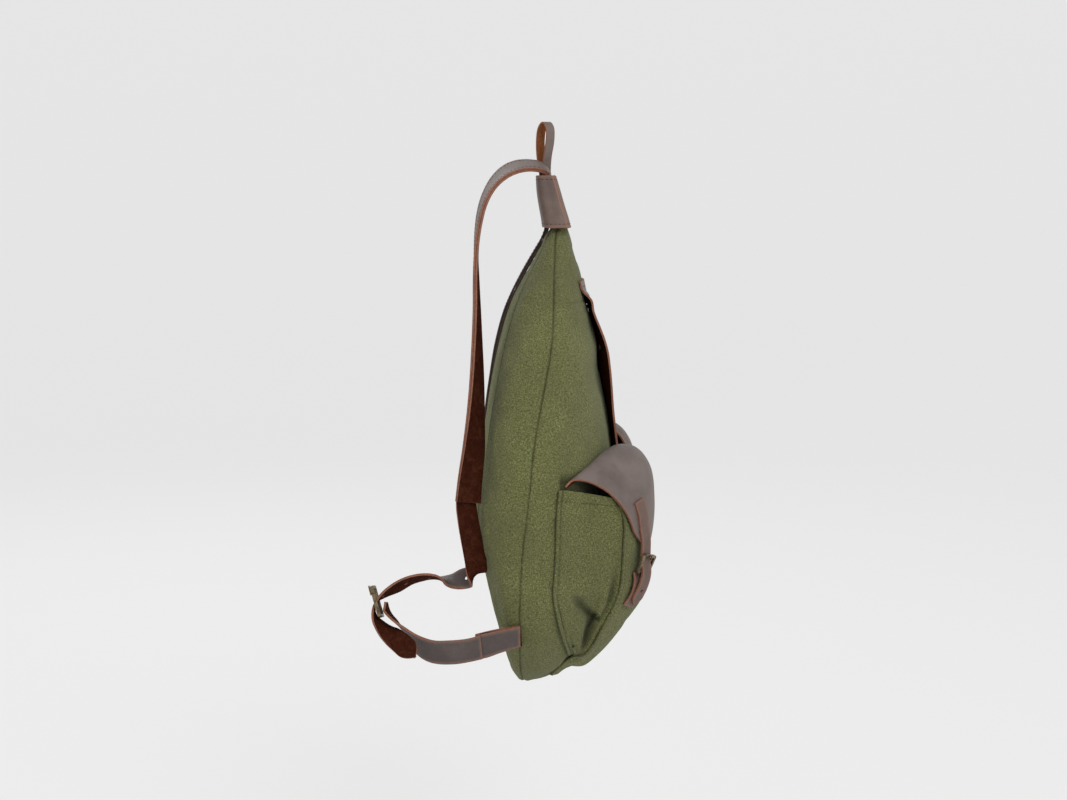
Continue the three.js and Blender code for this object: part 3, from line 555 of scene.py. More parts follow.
def buildPly(sheet, marks, sunk, deep, rimBevel, holes):
    normals = sheet.normals()
    bm, places = flatGrid(*sheet.grid.shape[:2])
    fields = {key: bm.verts.layers.float.new(key) for key in marks}
    back = bm.verts.layers.int.new("back")
    rowOf, columnOf = bm.verts.layers.int.new("row"), bm.verts.layers.int.new("column")
    punched = []
    for vert, place in zip(bm.verts, places):
        vert[rowOf], vert[columnOf] = place
        for key, values in marks.items():
            vert[fields[key]] = values[place]
        vert.co = sheet.grid[place] - normals[place] * sunk
        if place in holes:
            punched.append(vert)
    bmesh.ops.delete(bm, geom=punched, context="VERTS")
    for item in bmesh.ops.extrude_face_region(bm, geom=bm.faces[:])["geom"]:
        if isinstance(item, bmesh.types.BMVert):
            item[back] = 1
            item.co -= Vector(normals[item[rowOf], item[columnOf]] * deep)
    for face in bm.faces:
        behind = sum(vert[back] for vert in face.verts)
        face.material_index = {0: 0, len(face.verts): 1}.get(behind, 2)
    bmesh.ops.recalc_face_normals(bm, faces=bm.faces)
    good = next(f for f in bm.faces if f.material_index == 0)
    if good.normal.dot(normals[good.verts[0][rowOf], good.verts[0][columnOf]]) < 0:
        bmesh.ops.reverse_faces(bm, faces=bm.faces)
    rim = [e for e in bm.edges if len({f.material_index for f in e.link_faces}) > 1]
    roundEdges(bm, rim, rimBevel, plyMake["rimRings"])
    flat = bm.loops.layers.uv.new("flat")
    for face in bm.faces:
        for loop in face.loops:
            loop[flat].uv = (loop.vert[fields["flatU"]], loop.vert[fields["flatV"]])
    return bm


def buildSheet(name, sheet, thickness, rimBevel, sides, replaces, layers=1, holes=()):
    u, v = flatLengths(sheet.grid)
    marks = {"fromEdge": fromEdges(sheet.grid), "paintedShade": sheet.paintedShade, "rust": sheet.rust,
             "flatU": u - u[:, -1:] / 2, "flatV": v}
    whole = bmesh.new()
    ply = thickness / layers
    for layer in range(layers):
        deep = ply - (plyMake["gap"] if layer < layers - 1 else 0)
        ready = meshFrom("ply", buildPly(sheet, marks, layer * ply, deep, rimBevel, holes))
        whole.from_mesh(ready)
        bpy.data.meshes.remove(ready)
    return finishPiece(name, whole, sides, replaces)


# a pair is given as on the left and mirrored for the right
hands = {"left": -1, "right": 1}


def mirrored(place, sign):
    return (-sign * place[0], place[1], place[2])


def eachPiece(pieces):
    for name, piece in pieces.items():
        if "pair" in piece:
            yield from ((f"{name}_{hand}", piece, sign) for hand, sign in hands.items())
        else:
            yield name, piece, hands["left"]


# cloth pass: a coarse copy, sewn down along its edges, is a little too big for its frame
# and buckles softly
clothPass = {"pitch": 6 * mm, "fewest": 6, "frames": 12, "gravity": 0.08, "smoothing": 30}
clothFeel = {"quality": 6, "mass": 0.05, "tension_stiffness": 20, "compression_stiffness": 20,
             "shear_stiffness": 6, "bending_stiffness": 0.2, "shrink_min": -0.03}


def settleHeights(sheet, steps):
    grid = finer(sheet.grid, *(np.linspace(0, 1, count + 1) for count in steps))
    rows, columns = grid.shape[:2]
    bm, places = flatGrid(rows, columns)
    for vert, place in zip(bm.verts, places):
        vert.co = grid[place]
    mesh = meshFrom("settling", bm)
    cloth = linkObject("settling", mesh)
    sewn = cloth.vertex_groups.new(name="sewn")
    sewn.add([k for k, (j, i) in enumerate(places) if j in (0, rows - 1) or i in (0, columns - 1)],
             1.0, "REPLACE")
    modifier = cloth.modifiers.new("settling", "CLOTH")
    modifier.settings.vertex_group_mass = "sewn"
    for key, value in clothFeel.items():
        setattr(modifier.settings, key, value)
    modifier.settings.effector_weights.gravity = clothPass["gravity"]
    modifier.collision_settings.use_collision = False
    modifier.point_cache.frame_end = clothPass["frames"]
    scene = bpy.context.scene
    for step in range(1, clothPass["frames"] + 1):
        scene.frame_set(step)
    settled = cloth.evaluated_get(bpy.context.evaluated_depsgraph_get()).to_mesh()
    moved = grid.copy()
    for vert, place in zip(settled.vertices, places):
        moved[place] = vert.co
    bpy.data.objects.remove(cloth)
    bpy.data.meshes.remove(mesh)
    scene.frame_set(1)
    height = np.einsum("jik,jik->ji", moved - grid, normalsOf(grid) * sheet.turn)
    swell = height.copy()
    for k in range(clothPass["smoothing"]):
        padded = np.pad(swell, 1, mode="edge")
        swell = (padded[:-2, 1:-1] + padded[2:, 1:-1] + padded[1:-1, :-2] + padded[1:-1, 2:]) / 4
    return height - swell


# sewn wool: extra points close to the edges carry the seams
woolWall = {"thickness": 2 * mm, "rim": 0.7 * mm,
            "near": [0.5, 1.1, 1.8, 2.6, 3.6, 4.8, 6.4, 8.6, 11]}


def readSheet(name, piece, thickness, sign):
    at, looks, start = (mirrored(piece[key], sign) for key in ("at", "looks", "start"))
    return Sheet(*readWall(name, piece["columns"], at, looks, start, thickness))


# wide and narrow waves and the folds of the cloth pass, fading out towards the edges
drape = {"edge": 26 * mm, "wave": 13, "waveHigh": 1.3 * mm, "ripple": 34, "rippleHigh": 0.55 * mm,
         "lower": 0.4 * mm}


def drapeWool(coarse, piece, seed):
    over, down = coarse.steps(piece, woolWall["near"], woolWall["near"])
    sheet = coarse.refined(over, down)
    inside = eased(fromEdges(sheet.grid), drape["edge"])
    low, high = piece["sink"] * mm, piece["rise"] * mm
    height = (noiseField(sheet.grid, drape["wave"], seed) * drape["waveHigh"]
              + noiseField(sheet.grid, drape["ripple"], seed + 1) * drape["rippleHigh"])
    steps = [max(clothPass["fewest"], round(lengths.max() / clothPass["pitch"]))
             for lengths in flatLengths(coarse.grid)]
    folds = resample(settleHeights(coarse, steps), over, down)
    print("  folds from", round(folds.min() / mm, 2), "to", round(folds.max() / mm, 2), "mm")
    height += folds
    height = height - drape["lower"]
    height = np.where(height > 0, high * np.tanh(height / high), low * np.tanh(height / low))
    height = height * inside
    if "underFlap" in piece:
        height = seatUnderFlap(sheet, piece["underFlap"], height)
    sheet.push(height)
    return sheet


# the wool lies flat under the main flap and fills the hollow behind it
def seatUnderFlap(sheet, under, height):
    x, z = sheet.grid[..., 0], sheet.grid[..., 2]
    covered = np.exp(-(x / under["half"]) ** 4) * eased(z - under["low"], under["lowSoft"])
    seat = under["seat"] + under["fill"] * ridgeAt(z, under["fillAt"], under["fillWide"])
    rim = eased(fromEdges(sheet.grid), under["rim"])
    share = under["rimSeat"] + (1 - under["rimSeat"]) * rim
    return height * (1 - covered) + seat * covered * share


# the points close to the bottom edge are evened out
cornerEase = {"reach": 22 * mm, "turns": 14}


def easeCorner(sheet, fromBottom):
    near = (1 - eased(fromBottom, cornerEase["reach"]))[1:-1, 1:-1, None]
    for turn in range(cornerEase["turns"]):
        g = sheet.grid
        even = (g[:-2, 1:-1] + g[2:, 1:-1] + g[1:-1, :-2] + g[1:-1, 2:]) / 4
        sheet.grid = g.copy()
        sheet.grid[1:-1, 1:-1] += (even - g[1:-1, 1:-1]) * near


# soft swells and hollows at (x, z), clear of the seams
padRim = {"clear": 1 * mm, "soft": 3 * mm}


def padSheet(sheet, pads):
    x, z = sheet.grid[..., 0], sheet.grid[..., 2]
    for pad in pads:
        swell = (ridgeAt(x, pad["at"][0] * mm, pad["wide"][0] * mm)
                 * ridgeAt(z, pad["at"][1] * mm, pad["wide"][1] * mm))
        inside = eased(fromEdges(sheet.grid) - padRim["clear"], padRim["soft"])
        sheet.push(pad["high"] * mm * swell * inside)


# the mouth's edges run together beside its opening
mouthEnds = {"line": -0.172, "half": 22 * mm, "soft": 6 * mm, "reach": 14 * mm, "slope": 0.2,
             "gap": 0.2 * mm, "least": 0.3 * mm}


def closeMouth(sheet, side):
    row = {"top": 0, "bottom": -1}[side]
    apart = mouthEnds["line"] - sheet.grid[row, :, 2]
    beside = eased(np.abs(sheet.grid[row, :, 0]) - mouthEnds["half"], mouthEnds["soft"])
    shift = apart - np.sign(apart) * mouthEnds["gap"]
    shift = shift * beside * (np.abs(apart) > mouthEnds["least"])
    lift = shift[None, :] * (1 - eased(sideLengths(sheet.grid)[side], mouthEnds["reach"]))
    sheet.grid = sheet.grid + lift[..., None] * np.array((0, mouthEnds["slope"], 1))


# a seam: the edge rolls in, a ridge stands beside it, and the wool puckers along it; a painted
# shadow lies along the seam line, lighter in patches
seamLook = {"roll": 0.75 * mm, "rollReach": 1.6 * mm, "ridge": 0.4 * mm, "ridgeAt": 3.6 * mm,
            "ridgeWide": 2 * mm, "pucker": 0.28 * mm, "puckerScale": 80, "puckerStart": 2 * mm,
            "puckerReach": 12 * mm, "shadow": 0.75 * mm, "close": 0.2 * mm,
            "shadePatchScale": 60, "shadePatchMiddle": 0.75, "shadePatchSwing": 0.5, "shadePatchLeast": 0.35}


def closeSeam(sheet, side, close=seamLook["close"]):
    grid = sheet.grid
    edge, inner = {"first": (grid[:, 0], grid[:, 2]), "last": (grid[:, -1], grid[:, -3]),
                   "top": (grid[0], grid[2]), "bottom": (grid[-1], grid[-3])}[side]
    outward = edge - inner
    edge += outward / np.maximum(np.linalg.norm(outward, axis=1, keepdims=True), tinyLength) * close


def sewSeam(sheet, side, seed, roll=1.0, shadow=1.0):
    length = sideLengths(sheet.grid)[side]
    ridge = seamLook["ridge"] * ridgeAt(length, seamLook["ridgeAt"], seamLook["ridgeWide"])
    sunk = roll * seamLook["roll"] * (1 - eased(length, seamLook["rollReach"]))
    ease = eased(length, seamLook["puckerStart"]) * (1 - eased(length, seamLook["puckerReach"]))
    pucker = seamLook["pucker"] * noiseField(sheet.grid, seamLook["puckerScale"], seed) * ease
    closeSeam(sheet, side)
    sheet.push(ridge + pucker - sunk)
    # painted shadow along the seam line, its darkness varied in patches by noise
    patches = noiseField(sheet.grid, seamLook["shadePatchScale"], seed + 3)
    wearAndShadePatches = seamLook["shadePatchMiddle"] + seamLook["shadePatchSwing"] * patches
    wearAndShadePatches = np.clip(wearAndShadePatches, seamLook["shadePatchLeast"], 1)
    sheet.shade(shadow * wearAndShadePatches * ridgeAt(length, 0, seamLook["shadow"]))


# valleys with raised lips, pressed into a panel along lines seen from the side,
# each from (y, z) to (y, z) in mm; a painted shadow along a valley is full at "fullDepth"
foldLook = {"lip": 0.25, "lipAt": 2.0, "lipWide": 0.8, "shadowNarrow": 1.1, "fullDepth": 8 * mm,
            "fade": 8 * mm}


def pressFolds(sheet, folds, side=0, fade=foldLook["fade"]):
    height, shadow = np.zeros((2, *sheet.grid.shape[:2]))
    for fold in folds:
        start, end = (np.array(fold[key]) * mm for key in ("start", "end"))
        way = end - start
        place = sheet.grid[..., 1:] - start
        share = np.clip(place @ way / (way @ way), 0, 1)
        gap = np.linalg.norm(place - share[..., None] * way, axis=2) / (fold["width"] * mm)
        depth = (fold["depth"][0] + (fold["depth"][1] - fold["depth"][0]) * share) * mm
        lip = foldLook["lip"] * depth * ridgeAt(gap, foldLook["lipAt"], foldLook["lipWide"])
        height = np.minimum(height, -depth * np.exp(-gap ** 2)) + lip
        dark = fold.get("shadow", 0) * depth / foldLook["fullDepth"]
        shadow = np.maximum(shadow, dark * np.exp(-(foldLook["shadowNarrow"] * gap) ** 2))
    here = eased(fromEdges(sheet.grid), fade)
    if side:
        here = here * (sheet.grid[..., 0] * side > 0)
    sheet.push(height * here)
    # painted shadow in the valleys
    sheet.shade(shadow * here)


# stitches: small rounded threads in a groove along a line on a sheet
stitchSize = {"pitch": 4.2 * mm, "long": 3.0 * mm, "wide": 0.40 * mm, "high": 0.28 * mm,
              "facets": 6, "rings": 4, "reach": 3, "groove": 0.3 * mm, "grooveWide": 0.9 * mm}
threadLines = {"wool": bmesh.new(), "leather": bmesh.new()}


def sewLine(bm, points, normals):
    steps = np.linalg.norm(np.diff(points, axis=0), axis=1)
    at = np.concatenate([[0], np.cumsum(steps)])
    count = int(at[-1] / stitchSize["pitch"])
    for k in range(count):
        middle = (k + 0.5) * at[-1] / count
        j = int(np.clip(np.searchsorted(at, middle), 1, len(points) - 1))
        share = (middle - at[j - 1]) / max(at[j] - at[j - 1], tinyLength)
        place = points[j - 1] + (points[j] - points[j - 1]) * share
        reach = slice(max(j - stitchSize["reach"], 0), j + stitchSize["reach"])
        along = Vector(points[reach][-1] - points[reach][0]).normalized()
        across = Vector(normals[j]).cross(along).normalized()
        turn = Matrix((along, across, along.cross(across))).transposed().to_4x4()
        scale = Matrix.Diagonal((stitchSize["long"] / 2, stitchSize["wide"], stitchSize["high"], 1))
        bmesh.ops.create_uvsphere(bm, u_segments=stitchSize["facets"],
                                  v_segments=stitchSize["rings"], radius=1,
                                  matrix=Matrix.Translation(place) @ turn @ scale)


# the line that keeps a steady distance from one side of a sheet
def lineNear(sheet, side, distance, start, end):
    length, grid, normals = sideLengths(sheet.grid)[side], sheet.grid, sheet.normals()
    if side in ("first", "last"):
        length, grid, normals = length.T, grid.transpose(1, 0, 2), normals.transpose(1, 0, 2)
    count = grid.shape[1]
    points, ups = [], []
    for i in range(int(start * (count - 1)), int(end * (count - 1)) + 1):
        order = slice(None) if length[0, i] < length[-1, i] else slice(None, None, -1)
        row = length[order, i]
        points.append([np.interp(distance, row, grid[order, i, k]) for k in range(3)])
        ups.append([np.interp(distance, row, normals[order, i, k]) for k in range(3)])
    return np.array(points), np.array(ups)


def stitchSide(kind, sheet, side, distance, start=0.0, end=1.0, cut=stitchSize):
    length = sideLengths(sheet.grid)[side]
    sheet.push(-cut["groove"] * ridgeAt(length, distance, cut["grooveWide"]))
    sewLine(threadLines[kind], *lineNear(sheet, side, distance, start, end))


def makeWoolPiece(name, sheet):
    piece = buildSheet(name + "_wool", sheet, woolWall["thickness"], woolWall["rim"], woolSides,
                       [name])


# wool panels of the bag, sewn on all sides; "cut" is the flat width, length and area in metres,
# "mouth" the roll and shadow of an edge that is left open
allSides = ("first", "last", "top", "bottom")
woolSeeds = {"bagSeams": 20, "pockets": 30, "pocketSeams": 50}
bagPanels = {
    "front_top_panel": {
        "columns": 20, "at": (0, -30, -140), "looks": (0, -1, 0), "start": (-25, -13, -98),
        "across": 90, "along": 24, "sink": 0.8, "rise": 0.5, "mouth": {"bottom": (0.1, 0.15)},
        "cut": (0.222, 0.105, 0.0113), "hangs": ["yoke"]},
    "front_panel": {
        "columns": 20, "at": (0, -66, -350), "looks": (0, -1, 0), "start": (-100, -6, -172),
        "across": 130, "along": 100, "sink": 1.0, "rise": 0.5, "mouth": {"top": (0.1, 0.15)},
        "cut": (0.472, 0.459, 0.1584),
        "hangs": ["front_top_panel", "side_panel_left", "side_panel_right"],
        "underFlap": {"half": 42 * mm, "low": -0.33, "lowSoft": 30 * mm, "seat": 0.38 * mm,
                      "fill": 0.75 * mm, "fillAt": -0.247, "fillWide": 16 * mm,
                      "rim": 3 * mm, "rimSeat": 0.6}},
    "back_panel": {
        "columns": 8, "at": (0, 64, -350), "looks": (0, 1, 0), "start": (20, -9, -98),
        "across": 80, "along": 120, "sink": 1.0, "rise": 0.9,
        "cut": (0.277, 0.521, 0.0976), "hangs": ["yoke"]},
    "side_panel": {
        "pair": True, "columns": 3, "at": (-175, 40, -350), "looks": (-0.7, 0.7, 0),
        "start": (-18, -9, -98), "across": 30, "along": 130, "sink": 1.4, "rise": 0.9,
        "cut": (0.077, 0.557, 0.0285), "hangs": ["yoke"]},
}
bagFolds = {
    "front_panel": [{"start": (-14, -331), "end": (14, -322), "depth": (1.6, 0.4), "width": 6},
                    {"start": (-20, -345), "end": (4, -352), "depth": (1.0, 0.2), "width": 6}],
    "side_panel_left": [{"start": (38, -165), "end": (34, -215), "depth": (0.2, 1.2), "width": 8},
                        {"start": (52, -300), "end": (44, -360), "depth": (0.9, 0.2), "width": 9}],
}
bagPads = {"back_panel": [{"at": (-17, -113), "wide": (11, 13), "high": 2.3},
                          {"at": (30, -152), "wide": (24, 30), "high": -0.5}]}

# painted shade on the front panel's cloth inside each pocket and under its flap
pocketInside = {"inner": 84 * mm, "outer": 184 * mm, "top": -324 * mm, "low": -470 * mm,
                "back": -9 * mm, "soft": 4 * mm, "depth": 0.95}


def pocketShade(grid):
    x, y, z = np.abs(grid[..., 0]), grid[..., 1], grid[..., 2]
    soft = pocketInside["soft"]
    return pocketInside["depth"] * np.minimum.reduce([
        eased(x - pocketInside["inner"], soft), eased(pocketInside["outer"] - x, soft),
        eased(pocketInside["top"] - z, soft), eased(z - pocketInside["low"], soft),
        eased(pocketInside["back"] - y, soft)])


for seed, (name, panel, sign) in enumerate(eachPiece(bagPanels)):
    sheet = drapeWool(readSheet(name, panel, woolWall["thickness"], sign), panel, seed)
    pressFolds(sheet, bagFolds.get(name, []), side=-1)
    padSheet(sheet, bagPads.get(name, []))
    mouth = panel.get("mouth", {})
    for side in mouth:
        closeMouth(sheet, side)
    if name == "front_panel":
        sheet.shade(pocketShade(sheet.grid))
    for side in allSides:
        sewSeam(sheet, side, seed + woolSeeds["bagSeams"], *mouth.get(side, ()))
    makeWoolPiece(name, sheet)
print("bag panels sewn")

# pockets, given as on the left one: front, outer gusset with its flange on the bag, inner gusset
pocketPanels = {
    "pocket_front": {
        "columns": 8, "at": (-114, -92, -400), "looks": (0, -1, 0), "start": (-160, -61, -347),
        "across": 60, "along": 90, "sink": 1.2, "rise": 0.4, "hangs": "pocket_gusset_outer_{}",
        "cut": {"left": (0.093, 0.231, 0.0167), "right": (0.091, 0.226, 0.0162)}},
    "pocket_gusset_outer": {
        "columns": 6, "at": (-160, -42, -400), "looks": (-1, 0, 0), "start": (-175, -9, -338),
        "across": 60, "along": 100, "sink": 1.5, "rise": 0.6, "hangs": "front_panel",
        "cut": {"left": (0.075, 0.189, 0.0107), "right": (0.066, 0.189, 0.0096)}},
    "pocket_gusset_inner": {
        "columns": 2, "at": (-78, -75, -400), "looks": (1, 0, 0), "start": (-78, -78, -342),
        "across": 20, "along": 80, "sink": 0.8, "rise": 0.3, "hangs": "front_panel",
        "cut": {"left": (0.026, 0.180, 0.0034), "right": (0.017, 0.174, 0.0021)}},
}
pocketHem = {"at": 10 * mm, "lift": 0.35 * mm, "end": 8 * mm, "soft": 2 * mm, "shade": 0.45,
             "shadeWide": 0.9 * mm}
gussetSewing = {"paintedFlapShadow": 0.09, "foldFade": 5 * mm, "welt": 4.4 * mm, "weltHigh": 0.9 * mm,
                "weltEnd": 4 * mm, "weltSoft": 14 * mm, "groove": 5.0 * mm, "grooveDeep": 0.6 * mm,
                "grooveWide": 0.9 * mm, "grooveShade": 0.9, "grooveShadeWide": 0.8 * mm,
                "edgeShade": 0.8, "edgeShadeWide": 0.7 * mm, "join": 0.45 * mm}
gussetFolds = [
    {"start": (-19, -431), "end": (-44, -465), "depth": (0, 9), "width": 4.4, "shadow": 0.95},
    {"start": (-44, -465), "end": (-54, -468), "depth": (9, 9), "width": 3.8, "shadow": 0.9},
    {"start": (-43, -463), "end": (-37, -495), "depth": (9, 7), "width": 4.8, "shadow": 1.1},
    {"start": (-54, -468), "end": (-62, -445), "depth": (9, 7), "width": 4.4, "shadow": 0.95},
    {"start": (-62, -445), "end": (-68, -405), "depth": (7, 0), "width": 4.6, "shadow": 0.9},
    {"start": (-30, -372), "end": (-34, -425), "depth": (0, 1.2), "width": 8.0},
]


# a welt along the gusset's front edge, with a groove behind it; a light painted shadow of the flap
# lies over the whole gusset, and painted shade lies in its groove, along its front edge and in its
# folds
def sewGusset(sheet, lengths):
    sew, front = gussetSewing, lengths["first"]
    # painted shadow of the pocket flap, even over the whole gusset
    sheet.shade(sew["paintedFlapShadow"] * np.ones(sheet.paintedShade.shape))
    pressFolds(sheet, gussetFolds, fade=sew["foldFade"])
    welt = np.clip(front / sew["welt"], 0, 1)
    above = eased(lengths["bottom"] - sew["weltEnd"], sew["weltSoft"])
    sheet.push(sew["weltHigh"] * np.sin(math.pi * welt) ** 2 * above)
    sheet.push(-sew["grooveDeep"] * ridgeAt(front, sew["groove"], sew["grooveWide"]) * above)
    sheet.shade(sew["grooveShade"] * ridgeAt(front, sew["groove"], sew["grooveShadeWide"]))
    sheet.shade(sew["edgeShade"] * ridgeAt(front, 0, sew["edgeShadeWide"]))
    closeSeam(sheet, "last", sew["join"])
    easeCorner(sheet, lengths["bottom"])


# the pocket's front is tucked in at its lower corner and top-stitched down both sides
frontSewing = {"corner": -0.509, "cornerWide": 5 * mm, "tuck": 1.5 * mm, "tuckReach": 10 * mm,
               "rolls": {"first": 0.1, "last": 0.1, "bottom": 0.8}, "shadow": 0.5,
               "stitched": ("first", "last"), "stitch": 3.8 * mm}


def sewPocketFront(sheet, lengths, seed):
    sew = frontSewing
    corner = ridgeAt(sheet.grid[..., 2], sew["corner"], sew["cornerWide"])
    sheet.push(-sew["tuck"] * corner * (1 - eased(lengths["first"], sew["tuckReach"])))
    for side, roll in sew["rolls"].items():
        sewSeam(sheet, side, seed, roll, sew["shadow"])
    for side in sew["stitched"]:
        stitchSide("wool", sheet, side, sew["stitch"])


for hand, sign in hands.items():
    for seed, (kind, panel) in enumerate(pocketPanels.items()):
        name = f"{kind}_{hand}"
        sheet = drapeWool(readSheet(name, panel, woolWall["thickness"], sign), panel,
                          seed + woolSeeds["pockets"])
        lengths = sideLengths(sheet.grid)
        hemmed = 1 - eased(lengths["top"] - pocketHem["end"], pocketHem["soft"])
        sheet.push(pocketHem["lift"] * hemmed)
        if kind == "pocket_gusset_outer":
            sewGusset(sheet, lengths)
        if kind == "pocket_front":
            sewPocketFront(sheet, lengths, seed + woolSeeds["pocketSeams"])
        stitchSide("wool", sheet, "top", pocketHem["at"])
        hemLine = ridgeAt(lengths["top"], pocketHem["at"], pocketHem["shadeWide"])
        sheet.shade(pocketHem["shade"] * hemLine)
        makeWoolPiece(name, sheet)
print("pockets sewn")

# leather sheets: yoke and flaps, sewn at the given mm from a side
leatherWall = {"thickness": 2 * mm, "rim": 0.45 * mm, "near": [0.6, 1.4, 2.4, 3.6, 5.0, 6.6],
               "groove": 0.22 * mm, "grooveWide": 0.7 * mm}
leatherSheets = {
    "yoke": {
        "columns": 20, "at": (-31, -4, -75), "looks": (-1, 0, 0), "start": (-1, -9.5, -51),
        "across": 220, "along": 36, "sewn": [("bottom", 4.0), ("top", 4.0)], "sides": yokeSides},
    "main_flap": {
        "columns": 10, "at": (0, -68, -300), "looks": (0, -1, 0), "start": (-50, -20, -153),
        "across": 60, "along": 90, "sewn": [("top", 6.0)], "sides": leatherSides},
    "pocket_flap": {
        "pair": True, "columns": 8, "at": (-114, -94, -340), "looks": (0, -0.8, 0.6),
        "start": (-176, -8, -335), "across": 60, "along": 70, "sewn": [("top", 5.0)],
        "sides": leatherSides},
}

# raw edges of two layers stand along the front corners of the yoke
yokeBand = {"turn": math.radians(64), "wide": 4.2 * mm, "high": 0.6 * mm, "slack": 0.3 * mm,
            "rustLeast": 0.35, "rustMore": 0.65}


def bandYoke(sheet):
    normals = sheet.normals()
    u = flatLengths(sheet.grid)[0]
    for sign in (-1, 1):
        lean = np.arctan2(-normals[..., 1], sign * normals[..., 0])
        front = sheet.grid[..., 0] * sign > 0
        gap = np.full(u.shape, 1.0)
        for j in range(len(u)):
            onSide = np.where(front[j] & (np.abs(lean[j]) < math.pi / 2))[0]
            corner = onSide[np.argmin(np.abs(lean[j, onSide] - yokeBand["turn"]))]
            way = 1 if lean[j, onSide[0]] > lean[j, onSide[-1]] else -1
            gap[j] = (u[j] - u[j, corner]) * way
        layers = np.abs(np.sin(2 * math.pi * np.clip(gap / yokeBand["wide"], 0, 1)))
        sheet.push(yokeBand["high"] * layers)
        inside = (gap > -yokeBand["slack"]) & (gap < yokeBand["wide"] + yokeBand["slack"])
        rust = yokeBand["rustLeast"] + yokeBand["rustMore"] * layers
        sheet.rust = np.maximum(sheet.rust, inside * rust)


# the flap dips over the mouth
mouthDent = {"at": -0.172, "wide": 4 * mm, "deep": 2.0 * mm, "half": 34 * mm, "seat": 0.09 * mm}


def dentFlap(sheet):
    x, z = sheet.grid[..., 0], sheet.grid[..., 2]
    dip = mouthDent["seat"] + mouthDent["deep"] * ridgeAt(z, mouthDent["at"], mouthDent["wide"])
    sheet.push(-np.exp(-(x / mouthDent["half"]) ** 4) * dip)


for name, piece, sign in eachPiece(leatherSheets):
    sheet = readSheet(name, piece, leatherWall["thickness"], sign)
    sheet = sheet.refined(*sheet.steps(piece, leatherWall["near"], leatherWall["near"]))
    if name == "yoke":
        bandYoke(sheet)
    if name == "main_flap":
        dentFlap(sheet)
    for side, distance in piece["sewn"]:
        stitchSide("leather", sheet, side, distance * mm, cut=leatherWall)
    buildSheet(name + "_leather", sheet, leatherWall["thickness"], leatherWall["rim"],
               piece["sides"], [name])
print("yoke and flaps cut")

# straps; a "point" is the length of the pointed end, holes are distances from it in mm
usualStrap = {"columns": 1, "thickness": 2.2, "across": 12, "layers": 1, "holes": (),
              "sides": strapSides, "slot": "strap_leather"}
straps = {
    "hang_loop": {
        "at": (0, 0, 1), "looks": (0, 0, 1), "start": (8.5, -0.2, -66),
        "thickness": 1.6, "across": 8, "along": 120, "sides": loopSides},
    "shoulder_strap_left": {
        "at": (-79, 69, -146), "looks": (0.05, 1, 0), "start": (-10, -4.6, -74),
        "thickness": 4.4, "along": 200, "layers": 2, "sides": leatherSides},
    "shoulder_strap_right": {
        "at": (66, 50, -215), "looks": (0.1, 0.96, 0.25), "start": (8, -2.2, -86),
        "thickness": 4.4, "along": 200, "layers": 2, "sides": farSides},
    "lower_strap_left": {
        "at": (-152, 69, -393), "looks": (0.97, 0.15, -0.1), "start": (-146.8, 73.2, -333),
        "along": 160, "point": 14, "holes": (88, 113, 138, 176)},
    "lower_strap_right": {
        "at": (255, 37, -481), "looks": (0.88, 0, 0.45), "start": (205, 45.4, -409),
        "along": 110, "point": 14, "holes": (38, 84, 109, 134)},
    "anchor_strap_left": {
        "at": (-208, 86, -481.5), "looks": (-1, 0, 0), "start": (-197.8, 60, -479),
        "along": 90, "slot": "leather"},
    "anchor_strap_right": {
        "at": (210, 53, -494), "looks": (0.4, 0.8, -0.4), "start": (197.8, 49, -479),
        "along": 80, "slot": "leather"},
    "anchor_tab_left": {
        "at": (-188, 43, -476), "looks": (-0.93, -0.25, -0.2), "start": (-177.6, 24, -473),
        "along": 80, "slot": "leather"},
    "anchor_tab_right": {
        "at": (188, 35, -476), "looks": (0.93, -0.25, -0.2), "start": (177.6, 20, -473),
        "along": 80, "slot": "leather"},
    "pocket_strap": {
        "pair": True, "at": (-138, -90, -411), "looks": (-0.6, -0.8, 0), "start": (-153, -84, -372),
        "thickness": 2, "across": 8, "along": 70, "point": 9, "holes": (16,), "sides": brownSides},
    "pocket_chape_left": {
        "at": (-139, -87, -430), "looks": (-0.6, -0.8, 0), "start": (-138.5, -85, -420.5),
        "thickness": 2, "across": 8, "along": 30, "sides": brownSides},
    "pocket_chape_right": {
        "at": (139, -79, -430), "looks": (0.6, -0.8, 0), "start": (138.5, -77, -420.5),
        "thickness": 2, "across": 8, "along": 30, "sides": brownSides},
}
strapCut = {"nearSides": [0.7, 1.6], "nearEnds": [0.5, 1.2, 2.0, 3.0, 4.2, 5.6, 7.2, 9, 11, 13],
            "hole": 1.9 * mm, "pointCurve": 2.2, "pointTip": 0.12, "stitched": ("first", "last"),
            "stitch": 3 * mm, "stitchEnds": (0.02, 0.98),
            "groove": 0.15 * mm, "grooveWide": 0.6 * mm}


def pointEnd(sheet, point):
    length = sideLengths(sheet.grid)["bottom"].mean(axis=1)
    share = np.clip(1 - length / point, 0, 1)
    width = np.maximum(1 - share ** strapCut["pointCurve"], strapCut["pointTip"])[:, None, None]
    middle = (sheet.grid[:, :1] + sheet.grid[:, -1:]) / 2
    sheet.grid = middle + (sheet.grid - middle) * width


def punch(sheet, distance):
    length = sideLengths(sheet.grid)["bottom"].mean(axis=1)
    j, i = int(np.argmin(np.abs(length - distance))), sheet.grid.shape[1] // 2
    centre = sheet.grid[j, i].copy()
    for dj in (-1, 0, 1):
        for di in (-1, 0, 1):
            if dj or di:
                way = sheet.grid[j + dj, i + di] - centre
                sheet.grid[j + dj, i + di] = centre + way / np.linalg.norm(way) * strapCut["hole"]
    return j, i


